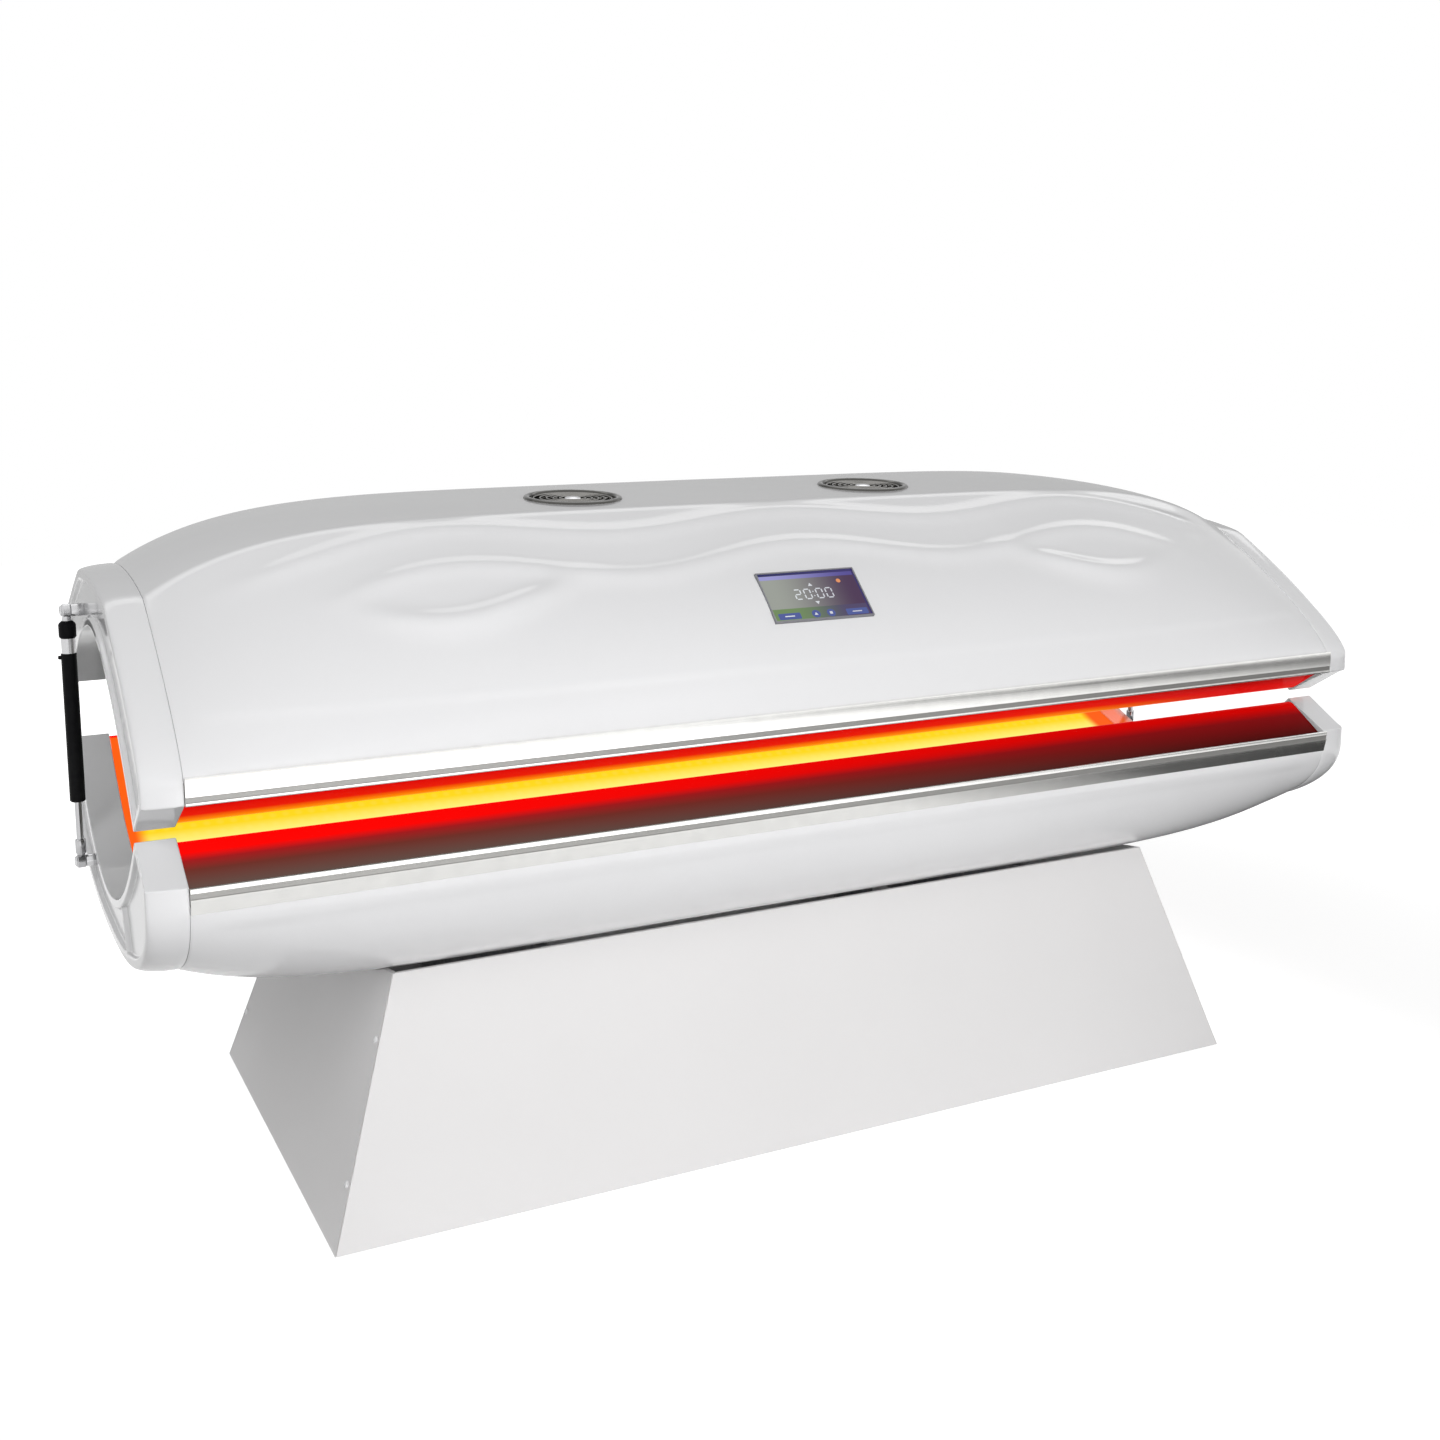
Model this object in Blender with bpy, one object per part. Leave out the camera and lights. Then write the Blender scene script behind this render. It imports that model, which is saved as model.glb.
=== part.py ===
"""LED light therapy bed: a lying tunnel in two halves on a tapered pedestal.

Metres, +Z up. X runs along the bed, and -Y is the side with the touch screen. The origin is on the
floor, under the middle of the object's box. Shapes are drawn in the bed's own frame, whose X-Z plane is
the middle of the tunnel, and the empty named bed_frame moves that frame so that the box is centred.
"""

import math

import bmesh
import bpy
from mathutils import Matrix, Vector

# Clearance between pieces that touch
GAP = 0.0003

# Bed, along X and across
BED_LENGTH = 1.95
CAP_WIDTH = 0.050
CAP_INSET = 0.009
CAP_BLEND = 0.080
CAP_RIM = 0.011
CAP_RECESS = 0.006
BED_WIDTH = 0.826
SHELL_WALL = 0.004

# Pedestal
FLOOR_GAP = 0.003
PEDESTAL_HEIGHT = 0.345
# How much shorter and narrower than the bed its foot and its top are
FOOT_LESS = (0.430, 0.088)
TOP_LESS = (0.655, 0.259)
PEDESTAL_FOOT = (BED_LENGTH - FOOT_LESS[0], BED_WIDTH - FOOT_LESS[1])
PEDESTAL_TOP = (BED_LENGTH - TOP_LESS[0], BED_WIDTH - TOP_LESS[1])
PANEL = 0.006
PANEL_CLEAR = 0.002
FOOT_RADIUS = 0.024
FOOT_HEIGHT = 0.020
FOOT_SET_IN = 0.160
FOOT_X = PEDESTAL_FOOT[0] / 2 - FOOT_SET_IN
RAIL_HEIGHT = 0.040
RAIL_WIDTH = 0.040
RAIL_Y = 0.270
RAIL_SET_IN = 0.100
RAIL_LENGTH = PEDESTAL_FOOT[0] - 2 * RAIL_SET_IN
SADDLE_X = 0.420
SADDLE_THICK = 0.018
SUPPLY_SIZE = (0.050, 0.220, 0.110)
SUPPLY_LIFT = 0.050

# Lower half
BED_RISE = 0.174
BELLY_DEPTH = 0.215
BELLY_DEPTH_END = 0.155
BELLY_SWEEP = 8
BELLY_POWER = 2.2
BELLY_ROUND = 0.45
LOWER_TRIM = 0.0245
TRIM_PROUD = 0.007
TRIM_BACK = 0.011
TRIM_EDGE = 0.004
LIP_REACH = 0.083
LOWER_LIP_RISE = 0.0415
TROUGH_DEPTH = 0.155
ACRYLIC = 0.005

# Upper half
FRONT_OPENING = 0.1005
REAR_OPENING = 0.1735
UPPER_TRIM = 0.028
UPPER_LIP_DROP = 0.046
CEILING_RISE = 0.1655
CEILING_POWER = 1.8
HOOD_RISE = 0.2874
HOOD_RISE_END = 0.2084
HOOD_ARCH = 7
HOOD_BLEND = 4
PLATEAU_HALF = 0.150
PLATEAU_TILT = 0.050
PLATEAU_FALL = 0.002
PLATEAU_FALL_END = 0.012
SLOPE_ROUND = 0.505
SLOPE_ROUND_END = 0.735

# Light trays
TRAY_HALF = 0.290
TRAY_FLAT = 0.210
TRAY_STAND = 0.035
TRAY_WALL = 0.002
BOARD = 0.0016
BOARD_MARGIN = 0.014
BOARD_END = 0.060

# Rear hinges
HINGE_X = 0.550
HINGE_WIDTH = 0.090
LEAF = 0.006
BARREL = 0.011
PIN = 0.005
PIN_HEAD = 0.008
PIN_HEAD_THICK = 0.004
KNUCKLE_CLEAR = 0.002
LEAF_FOOT = 0.014
LEAF_HEAD = 0.0035

# Gas springs
STRUT_Y = 0.155
STUD_SHARE = 0.62
STRUT_STAND = 0.018
STUD = 0.005
STUD_FLANGE = 0.009
STUD_HEAD = 0.008
STUD_HEAD_THICK = 0.0035
EYE = 0.010
EYE_WIDTH = 0.012
ROD = 0.005
ROD_LENGTH = 0.278
TUBE = 0.011
TUBE_BORE = 0.0065
TUBE_MOUTH = 0.285
TUBE_TOP = 0.030
TUBE_NECK = 0.006

# Vents and fans
VENT_X = 0.2595
VENT_MIDDLE = -0.015
VENT_Y = -0.033
VENT_RADIUS = 0.0755
VENT_THROAT = 0.066
VENT_PROUD = 0.002
VENT_DEPTH = 0.030
GRILLE = 0.003
GRILLE_HUB = 0.013
GRILLE_RING = (0.037, 0.042)
SPOKES = 6
SPOKE_ANGLE = math.radians(7)
FAN_SIDE = 0.136
FAN_DEPTH = 0.032
FAN_BORE = 0.062
SPIDER = 0.006
SPIDER_ARM = 0.008
FAN_HUB = 0.021
FAN_HUB_HEIGHT = 0.022
FAN_TIP = 0.058
FAN_BLADES = 7
BLADE_WIDTH = 0.030
BLADE_THICK = 0.002
BLADE_PITCH = math.radians(32)

# Touch screen
SCREEN_X = -0.017
SCREEN_FROM_EDGE = 0.083
SCREEN_Y = SCREEN_FROM_EDGE - BED_WIDTH / 2
SCREEN_SIZE = (0.160, 0.087)
BEZEL = 0.002
BEZEL_DEPTH = 0.018
BEZEL_PROUD = 0.0015
SCREEN_THICK = 0.010
SCREEN_SINK = 0.0005
CONTROL_SIZE = (0.130, 0.070, 0.012)

# Mains inlet and its rocker switch, on the rear panel
INLET_X = 0.350
INLET_Z = 0.095
INLET_SIZE = (0.056, 0.025)
INLET_DEPTH = 0.028
INLET_FLANGE = 0.0055
INLET_PROUD = 0.004
SOCKET_SIZE = (0.023, 0.019)
SOCKET_DEPTH = 0.018
SOCKET_X = 0.0125
POCKET_SIZE = (0.019, 0.018)
POCKET_DEPTH = 0.015
POCKET_X = -0.0145
ROCKER_HALF = 0.0068
ROCKER_HEEL = 0.0041
ROCKER_PIVOT = -0.003
ROCKER_PROUD = (0.0025, 0.0008, 0.0002)

# How finely curved pieces are drawn
ROUND_SIDES = 16
BELLY_STEPS = 16
PLATEAU_STEPS = 3
SLOPE_STEPS = 7
TUNNEL_STEPS = 12
STATION_SHARES = (0.25, 0.5, 0.7, 0.83, 0.92, 0.975, 1.0)
CAP_STEPS = 3
RIM_STEPS = 3

# Places that follow from the sizes
HALF_WIDTH = BED_WIDTH / 2
BED_HALF = BED_LENGTH / 2
SHELL_HALF = BED_HALF - CAP_WIDTH
TRIM_IN = HALF_WIDTH - TRIM_BACK
TRIM_OUT = HALF_WIDTH + TRIM_PROUD
LIP_END = HALF_WIDTH - LIP_REACH
BELLY_EDGE = PEDESTAL_HEIGHT + BED_RISE
LOWER_TRIM_TOP = BELLY_EDGE + GAP + LOWER_TRIM
SHOULDER = LOWER_TRIM_TOP + LOWER_LIP_RISE
FRONT_TRIM_FOOT = LOWER_TRIM_TOP + FRONT_OPENING
REAR_TRIM_FOOT = LOWER_TRIM_TOP + REAR_OPENING
FRONT_EDGE = FRONT_TRIM_FOOT + UPPER_TRIM + GAP
REAR_EDGE = REAR_TRIM_FOOT + UPPER_TRIM + GAP
RAIL_TOP = FOOT_HEIGHT + GAP + RAIL_HEIGHT
HINGE_Y = TRIM_OUT + GAP + LEAF / 2
HINGE_Z = (LOWER_TRIM_TOP + REAR_TRIM_FOOT) / 2
STRUT_X = BED_HALF + STRUT_STAND
BOX_CENTRE = (HINGE_Y + BARREL - TRIM_OUT) / 2


def clear_scene():
    for old in list(bpy.data.objects):
        bpy.data.objects.remove(old)


def make_material(name, colour, roughness, metallic=0.0):
    made = bpy.data.materials.new(name)
    made.use_nodes = True
    shader = made.node_tree.nodes["Principled BSDF"]
    shader.inputs["Base Color"].default_value = (*colour, 1.0)
    shader.inputs["Roughness"].default_value = roughness
    shader.inputs["Metallic"].default_value = metallic
    return made


def make_empty(name, place, parent=None):
    made = bpy.data.objects.new(name, None)
    made.location = place
    made.parent = parent
    bpy.context.collection.objects.link(made)
    return made


def make_object(name, bm, finish, pivot=None, smooth=False):
    """Turns a mesh drawn in the bed's frame into an object that hangs on its pivot empty."""
    bmesh.ops.recalc_face_normals(bm, faces=bm.faces)
    mesh = bpy.data.meshes.new(name)
    bm.to_mesh(mesh)
    bm.free()
    mesh.materials.append(finish)
    if smooth:
        mesh.shade_smooth()
        mesh.set_sharp_from_angle(angle=math.radians(35))
    made = bpy.data.objects.new(name, mesh)
    made.parent = pivot or bed_frame
    if pivot:
        made.location = -pivot.location
    bpy.context.collection.objects.link(made)
    return made


def make_cutter(name, bm, pivot=None):
    made = make_object(name, bm, white_gloss, pivot)
    made.hide_render = True
    made.display_type = "WIRE"
    return made


def combine(target, other, operation):
    step = target.modifiers.new(other.name, "BOOLEAN")
    step.object = other
    step.operation = operation
    step.solver = "EXACT"


def pull(bm, faces, way):
    """Extrudes faces along a vector and returns the faces at the far end."""
    edges = dict.fromkeys(edge for face in faces for edge in face.edges)
    made = bmesh.ops.extrude_face_region(bm, geom=[*faces, *edges])["geom"]
    moved = [item for item in made if isinstance(item, bmesh.types.BMVert)]
    bmesh.ops.translate(bm, verts=moved, vec=way)
    return [item for item in made if isinstance(item, bmesh.types.BMFace)]


def prism(bm, outline, x0, x1):
    """Extrudes a closed (y, z) outline from x0 to x1."""
    face = bm.faces.new([bm.verts.new((x0, y, z)) for y, z in outline])
    pull(bm, [face], (x1 - x0, 0, 0))


def block(bm, low, high):
    centre = (Vector(low) + Vector(high)) / 2
    size = Vector(high) - Vector(low)
    place = Matrix.Translation(centre) @ Matrix.Diagonal((*size, 1))
    bmesh.ops.create_cube(bm, size=1, matrix=place)


def round_bar(bm, radius, place, depth, sides=ROUND_SIDES):
    ends = {"radius1": radius, "radius2": radius, "depth": depth}
    bmesh.ops.create_cone(bm, cap_ends=True, segments=sides, matrix=place, **ends)


def turned(bm, profile, place):
    """Spins a (radius, height) line, which starts and ends on the axis, about Z."""
    verts = [bm.verts.new((radius, 0, height)) for radius, height in profile]
    edges = [bm.edges.new(pair) for pair in zip(verts, verts[1:])]
    turn = {"axis": (0, 0, 1), "cent": (0, 0, 0), "angle": 2 * math.pi, "steps": ROUND_SIDES}
    bmesh.ops.spin(bm, geom=verts + edges, use_merge=True, **turn)
    bmesh.ops.remove_doubles(bm, verts=bm.verts, dist=GAP / 10)
    bmesh.ops.transform(bm, matrix=place, verts=bm.verts)


def along_x(x, y, z, way=1):
    """Places a shape drawn along +Z so that it runs along X, from the point given."""
    return Matrix.Translation((x, y, z)) @ Matrix.Rotation(way * math.pi / 2, 4, "Y")


def quads_between(bm, rows):
    for one, two in zip(rows, rows[1:]):
        for i in range(len(one) - 1):
            bm.faces.new((one[i], one[i + 1], two[i + 1], two[i]))


def walled_shell(bm, outer, inner):
    """A wall between two grids of points, one row for each station along the bed."""
    outer = [[bm.verts.new(point) for point in row] for row in outer]
    inner = [[bm.verts.new(point) for point in row] for row in inner]
    quads_between(bm, outer)
    quads_between(bm, inner)
    quads_between(bm, (outer[0], inner[0]))
    quads_between(bm, (outer[-1], inner[-1]))
    for end in (0, -1):
        quads_between(bm, ([row[end] for row in outer], [row[end] for row in inner]))


def offset_line(points, distance):
    """The (y, z) line moved sideways, to its left for a positive distance."""
    points = [Vector(point) for point in points]
    moved = []
    for i, here in enumerate(points):
        steps = [here - points[i - 1]] if i else []
        if i + 1 < len(points):
            steps.append(points[i + 1] - here)
        sides = [Vector((-step.y, step.x)).normalized() for step in steps]
        middle = sum(sides, Vector((0, 0))).normalized()
        moved.append(tuple(here + middle * distance / middle.dot(sides[0])))
    return moved


def blend(middle, end, share):
    return middle + (end - middle) * share


def rising(y, half, front, rear):
    """A straight line from front at y = -half to rear at y = half, level beyond both."""
    return blend(front, rear, min(1.0, max(0.0, (y / half + 1) / 2)))


def belly_depth(x):
    return blend(BELLY_DEPTH, BELLY_DEPTH_END, (abs(x) / SHELL_HALF) ** BELLY_SWEEP)


def belly_edge(y):
    return BELLY_EDGE


def belly_height(x, y, inset=0.0):
    share = min(1.0, abs(y) / (HALF_WIDTH - inset))
    return BELLY_EDGE - (belly_depth(x) - inset) * (1 - share**BELLY_POWER) ** BELLY_ROUND


def belly_section(x, inset=0.0):
    """Line of the belly at x, from the front edge under the bed to the rear edge."""
    turns = [math.pi * (i / BELLY_STEPS - 0.5) for i in range(BELLY_STEPS + 1)]
    across = [(HALF_WIDTH - inset) * math.sin(turn) for turn in turns]
    return [(y, belly_height(x, y, inset)) for y in across]


def hood_edge(y):
    return FRONT_EDGE if y < 0 else REAR_EDGE


def hood_height(x, y, inset=0.0):
    """Height of the hood: a plateau that climbs to the rear, a soft crease, then a slope to the trim."""
    share = min(1.0, abs(x) / SHELL_HALF)
    top = FRONT_EDGE + blend(HOOD_RISE, HOOD_RISE_END, share**HOOD_ARCH) - inset
    fall = blend(PLATEAU_FALL, PLATEAU_FALL_END, share**HOOD_BLEND)
    flat = max(-PLATEAU_HALF, min(PLATEAU_HALF, y))
    crown = top + PLATEAU_TILT * flat - fall * (flat / PLATEAU_HALF) ** 2
    if flat == y:
        return crown
    power = blend(SLOPE_ROUND, SLOPE_ROUND_END, share**HOOD_BLEND)
    left = (HALF_WIDTH - inset - abs(y)) / (HALF_WIDTH - inset - PLATEAU_HALF)
    return blend(hood_edge(y), crown, max(0.0, left) ** power)


def hood_section(x, inset=0.0):
    """Line of the hood at x, from the front edge over the top to the rear edge."""
    half = HALF_WIDTH - inset
    slope = half - PLATEAU_HALF
    reach = [half - slope * (i / SLOPE_STEPS) ** 2 for i in range(SLOPE_STEPS + 1)]
    reach += [PLATEAU_HALF * i / PLATEAU_STEPS for i in range(PLATEAU_STEPS - 1, -1, -1)]
    across = [-y for y in reach] + reach[-2::-1]
    return [(y, hood_height(x, y, inset)) for y in across]


def hood_frame(x, y):
    """A frame on the hood's skin, with its Z square to the skin and its X along the bed."""
    step = 0.02
    climb = hood_height(x, y + step) - hood_height(x, y - step)
    tilt = math.atan2(climb, 2 * step)
    return Matrix.Translation((x, y, hood_height(x, y))) @ Matrix.Rotation(tilt, 4, "X")


def tunnel_across():
    return [LIP_END * (2 * i / TUNNEL_STEPS - 1) for i in range(TUNNEL_STEPS + 1)]


def trough_height(y):
    return SHOULDER - TROUGH_DEPTH * (1 - (y / LIP_END) ** 2)


def ceiling_height(y):
    lip = rising(y, LIP_END, FRONT_TRIM_FOOT, REAR_TRIM_FOOT) - UPPER_LIP_DROP
    return lip + CEILING_RISE * (1 - (abs(y) / LIP_END) ** CEILING_POWER)


def lower_stud():
    """Height of a strut's lower stud, on the lower cap's end face."""
    return blend(belly_height(SHELL_HALF, STRUT_Y) + CAP_INSET, trough_height(STRUT_Y), STUD_SHARE)


def upper_stud():
    """Height of a strut's upper stud, on the upper cap's end face."""
    return blend(hood_height(SHELL_HALF, STRUT_Y) - CAP_INSET, ceiling_height(STRUT_Y), STUD_SHARE)


def trough_line():
    return [(y, trough_height(y)) for y in tunnel_across()]


def ceiling_line():
    return [(y, ceiling_height(y)) for y in tunnel_across()]


def pedestal_half(z):
    """Half length and half width of the pedestal's outside at a height."""
    share = z / PEDESTAL_HEIGHT
    return [blend(foot, top, share) / 2 for foot, top in zip(PEDESTAL_FOOT, PEDESTAL_TOP)]


def pedestal_panel(name, along, side, top_at, columns):
    """One mitred panel. along is 0 where the panel runs along X and 1 where it runs along Y."""
    bm = bmesh.new()
    rows = []
    for i in range(columns + 1):
        share = 2 * i / columns - 1
        row = []
        top = top_at(share)
        for z, inset in ((FLOOR_GAP, 0), (top, 0), (top, PANEL), (FLOOR_GAP, PANEL)):
            half = pedestal_half(z)
            run = share * (half[along] - inset - GAP)
            out = side * (half[1 - along] - inset)
            row.append(bm.verts.new((run, out, z) if along == 0 else (out, run, z)))
        rows.append(row + row[:1])
    quads_between(bm, rows)
    for row in (rows[0], rows[-1]):
        bm.faces.new(row[:4])
    return make_object(name, bm, white_panel)


def scribed_top(share):
    """Top of a side panel, cut to follow the belly above it."""
    half = pedestal_half(PEDESTAL_HEIGHT)
    return min(PEDESTAL_HEIGHT, belly_height(half[0] - PANEL, share * half[1]) - PANEL_CLEAR)


def flat_top(share):
    return PEDESTAL_HEIGHT


def make_pedestal():
    pedestal_panel("pedestal_front_panel", 0, -1, flat_top, 1)
    rear = pedestal_panel("pedestal_rear_panel", 0, 1, flat_top, 1)
    for side, word in ((-1, "left"), (1, "right")):
        pedestal_panel(f"pedestal_{word}_panel", 1, side, scribed_top, BELLY_STEPS)
        make_saddle(f"saddle_{word}", side)
        make_supply(f"power_supply_{word}", side)
    for side, word in ((-1, "front"), (1, "rear")):
        bm = bmesh.new()
        low = (-RAIL_LENGTH / 2, side * RAIL_Y - RAIL_WIDTH / 2, FOOT_HEIGHT + GAP)
        block(bm, low, (RAIL_LENGTH / 2, side * RAIL_Y + RAIL_WIDTH / 2, RAIL_TOP))
        make_object(f"floor_rail_{word}", bm, dark_steel)
        for end, end_word in ((-1, "left"), (1, "right")):
            make_foot(f"foot_{word}_{end_word}", end * FOOT_X, side * RAIL_Y)
    return rear


def make_saddle(name, side):
    """Plate across the pedestal, screwed to the long panels, whose top edge carries the belly."""
    near = SADDLE_X - SADDLE_THICK / 2
    top_reach = pedestal_half(PEDESTAL_HEIGHT)[1] - PANEL - GAP
    low_reach = pedestal_half(RAIL_TOP)[1] - PANEL - GAP
    top = [(y, z - GAP) for y, z in belly_section(near) if abs(y) < top_reach]
    side_z = min(PEDESTAL_HEIGHT, belly_height(near, top_reach) - GAP)
    outline = [(-low_reach, RAIL_TOP + GAP), (-top_reach, side_z)]
    outline += top
    outline += [(top_reach, side_z), (low_reach, RAIL_TOP + GAP)]
    bm = bmesh.new()
    prism(bm, outline, side * near, side * (near + SADDLE_THICK))
    make_object(name, bm, dark_steel)


def make_supply(name, side):
    depth, width, height = SUPPLY_SIZE
    near = SADDLE_X - SADDLE_THICK / 2 - GAP
    low = RAIL_TOP + SUPPLY_LIFT
    bm = bmesh.new()
    ends = sorted((side * near, side * (near - depth)))
    block(bm, (ends[0], -width / 2, low), (ends[1], width / 2, low + height))
    make_object(name, bm, bare_aluminium)


def make_foot(name, x, y):
    bm = bmesh.new()
    neck = FOOT_RADIUS / 2
    pad = FOOT_HEIGHT / 2
    profile = [(0, FOOT_HEIGHT), (neck, FOOT_HEIGHT), (neck, pad)]
    profile += [(FOOT_RADIUS, pad), (FOOT_RADIUS, 0), (0, 0)]
    turned(bm, profile, Matrix.Translation((x, y, 0)))
    make_object(name, bm, black_rubber, smooth=True)


def panel_frame(x, z):
    """A frame on the rear panel's outside, with its Y square to the panel and pointing out."""
    lean = math.atan2((PEDESTAL_FOOT[1] - PEDESTAL_TOP[1]) / 2, PEDESTAL_HEIGHT)
    return Matrix.Translation((x, pedestal_half(z)[1], z)) @ Matrix.Rotation(lean, 4, "X")


def make_inlet(rear_panel):
    frame = panel_frame(INLET_X, INLET_Z)
    half_x, half_z = (side / 2 for side in INLET_SIZE)
    bm = bmesh.new()
    block(bm, (-half_x - GAP, -INLET_DEPTH, -half_z - GAP), (half_x + GAP, INLET_DEPTH, half_z + GAP))
    bmesh.ops.transform(bm, matrix=frame, verts=bm.verts)
    combine(rear_panel, make_cutter("inlet_hole", bm), "DIFFERENCE")

    wide = half_z + INLET_FLANGE
    upper = [(INLET_PROUD, wide), (GAP, wide), (GAP, half_z), (-INLET_DEPTH, half_z)]
    bm = bmesh.new()
    prism(bm, upper + [(y, -z) for y, z in reversed(upper)], -half_x, half_x)
    bmesh.ops.transform(bm, matrix=frame, verts=bm.verts)
    inlet = make_object("power_inlet", bm, black_plastic)
    pockets = (
        ("socket_recess", SOCKET_X, SOCKET_SIZE, SOCKET_DEPTH),
        ("rocker_pocket", POCKET_X, POCKET_SIZE, POCKET_DEPTH),
    )
    for name, x, size, depth in pockets:
        bm = bmesh.new()
        low = (x - size[0] / 2, INLET_PROUD - depth, -size[1] / 2)
        block(bm, low, (x + size[0] / 2, INLET_PROUD + depth, size[1] / 2))
        bmesh.ops.transform(bm, matrix=frame, verts=bm.verts)
        combine(inlet, make_cutter(name, bm), "DIFFERENCE")
    make_rocker(frame)


def make_rocker(frame):
    """Rocker tipped to one side. Its upper end stands proud and its lower end is pressed in."""
    pivot_place = frame @ Vector((POCKET_X, ROCKER_PIVOT, 0))
    pivot = make_empty("rocker_axis", pivot_place, bed_frame)
    half = POCKET_SIZE[0] / 2 - GAP
    steps = zip(ROCKER_PROUD, (ROCKER_HALF, 0, -ROCKER_HALF))
    outline = [(INLET_PROUD + proud, z) for proud, z in steps]
    outline += [(2 * ROCKER_PIVOT, -ROCKER_HEEL), (2 * ROCKER_PIVOT, ROCKER_HEEL)]
    bm = bmesh.new()
    prism(bm, outline, POCKET_X - half, POCKET_X + half)
    bmesh.ops.transform(bm, matrix=frame, verts=bm.verts)
    make_object("power_rocker", bm, black_plastic, pivot)


def stations(extra=()):
    """Places along X where a shell's section is drawn, closer together near the ends."""
    half = sorted([SHELL_HALF * share for share in STATION_SHARES] + list(extra))
    return [-x for x in reversed(half)] + [0.0] + half


def shell_rows(section, places, inset):
    last = SHELL_HALF - GAP
    return [[(max(-last, min(last, x)), y, z) for y, z in section(x, inset)] for x in places]


def make_shell(name, section, places, pivot=None):
    bm = bmesh.new()
    walled_shell(bm, shell_rows(section, places, 0.0), shell_rows(section, places, SHELL_WALL))
    return make_object(name, bm, white_gloss, pivot, smooth=True)


def make_trim(name, side, foot, height, pivot=None):
    """Satin metal strip along a shell's edge, with its outer corners eased."""
    outer = [(TRIM_OUT - TRIM_EDGE, foot), (TRIM_OUT, foot + TRIM_EDGE)]
    outer += [(TRIM_OUT, foot + height - TRIM_EDGE), (TRIM_OUT - TRIM_EDGE, foot + height)]
    outline = [(TRIM_IN, foot)] + outer + [(TRIM_IN, foot + height)]
    bm = bmesh.new()
    prism(bm, [(side * y, z) for y, z in outline], -SHELL_HALF + GAP, SHELL_HALF - GAP)
    make_object(name, bm, satin_aluminium, pivot)


def make_acrylic(name, line, front_z, rear_z, way, pivot=None):
    """Bent sheet: a sloping lip at each long edge, with the tunnel's wall between them."""
    reach = TRIM_IN - GAP
    skin = [(-reach, front_z)] + line + [(reach, rear_z)]
    back = offset_line(skin, way * ACRYLIC)
    bm = bmesh.new()
    prism(bm, skin + back[::-1], -SHELL_HALF + GAP, SHELL_HALF - GAP)
    make_object(name, bm, red_acrylic, pivot)


def make_light(word, height_at, way, pivot=None):
    """A folded tray behind the acrylic, and a light board on each of its flats."""
    folds = [-TRAY_HALF, -TRAY_FLAT / 2, TRAY_FLAT / 2, TRAY_HALF]
    face = [Vector((y, height_at(y) + way * TRAY_STAND)) for y in folds]
    back = offset_line(face, way * TRAY_WALL)
    bm = bmesh.new()
    prism(bm, face + back[::-1], -SHELL_HALF + GAP, SHELL_HALF - GAP)
    make_object(f"{word}_led_tray", bm, bare_aluminium, pivot)
    reach = SHELL_HALF - BOARD_END
    for number, (start, end) in enumerate(zip(face, face[1:]), 1):
        run = (end - start).normalized()
        up = Vector((-run.y, run.x)) * -way
        low = [start + run * BOARD_MARGIN + up * GAP, end - run * BOARD_MARGIN + up * GAP]
        high = [point + up * BOARD for point in low]
        bm = bmesh.new()
        prism(bm, low + high[::-1], -reach, reach)
        make_object(f"{word}_led_board_{number}", bm, white_board, pivot)


def make_cap(name, side, skin, edge_at, way, tunnel, pivot=None):
    """End cap: its skin rolls over to the end face, whose middle is sunk inside a raised rim.

    way is 1 where the skin bulges up from its edge, and -1 where it bulges down.
    """
    bm = bmesh.new()
    loops = []
    for i in range(CAP_STEPS + 1):
        turn = math.pi / 2 * i / CAP_STEPS
        x = SHELL_HALF + GAP + (CAP_WIDTH - GAP) * math.sin(turn)
        inset = CAP_INSET * (1 - math.cos(turn))
        loop = []
        for y, z in skin:
            drawn = inset * min(1.0, max(0.0, way * (z - edge_at(y)) / CAP_BLEND))
            loop.append((y * (1 - inset / HALF_WIDTH), z - way * drawn))
        loop += tunnel
        loops.append([bm.verts.new((side * x, y, z)) for y, z in loop])
    quads_between(bm, [loop + loop[:1] for loop in loops])
    bm.faces.new(loops[0])
    face = bm.faces.new(loops[-1])
    bmesh.ops.recalc_face_normals(bm, faces=bm.faces)
    bmesh.ops.inset_region(bm, faces=[face], thickness=CAP_RIM, use_even_offset=True)
    bmesh.ops.inset_region(bm, faces=[face], thickness=CAP_RECESS / 2, use_even_offset=True)
    bmesh.ops.translate(bm, verts=list(face.verts), vec=(-side * CAP_RECESS, 0, 0))
    make_object(name, bm, white_gloss, pivot, smooth=True)


def make_base():
    saddle = (SADDLE_X - SADDLE_THICK / 2, SADDLE_X + SADDLE_THICK / 2)
    make_shell("base_shell", belly_section, stations(saddle))
    foot = BELLY_EDGE + GAP
    make_trim("base_front_trim", -1, foot, LOWER_TRIM)
    make_trim("base_rear_trim", 1, foot, LOWER_TRIM)
    lip = LOWER_TRIM_TOP - TRIM_EDGE / 2
    make_acrylic("base_acrylic", trough_line(), lip, lip, -1)
    make_light("base", trough_height, -1)
    skin = [(-HALF_WIDTH, LOWER_TRIM_TOP)] + belly_section(SHELL_HALF) + [(HALF_WIDTH, LOWER_TRIM_TOP)]
    tunnel = trough_line()[::-1]
    for side, word in ((-1, "left"), (1, "right")):
        make_cap(f"base_end_cap_{word}", side, skin, belly_edge, -1, tunnel)


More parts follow.
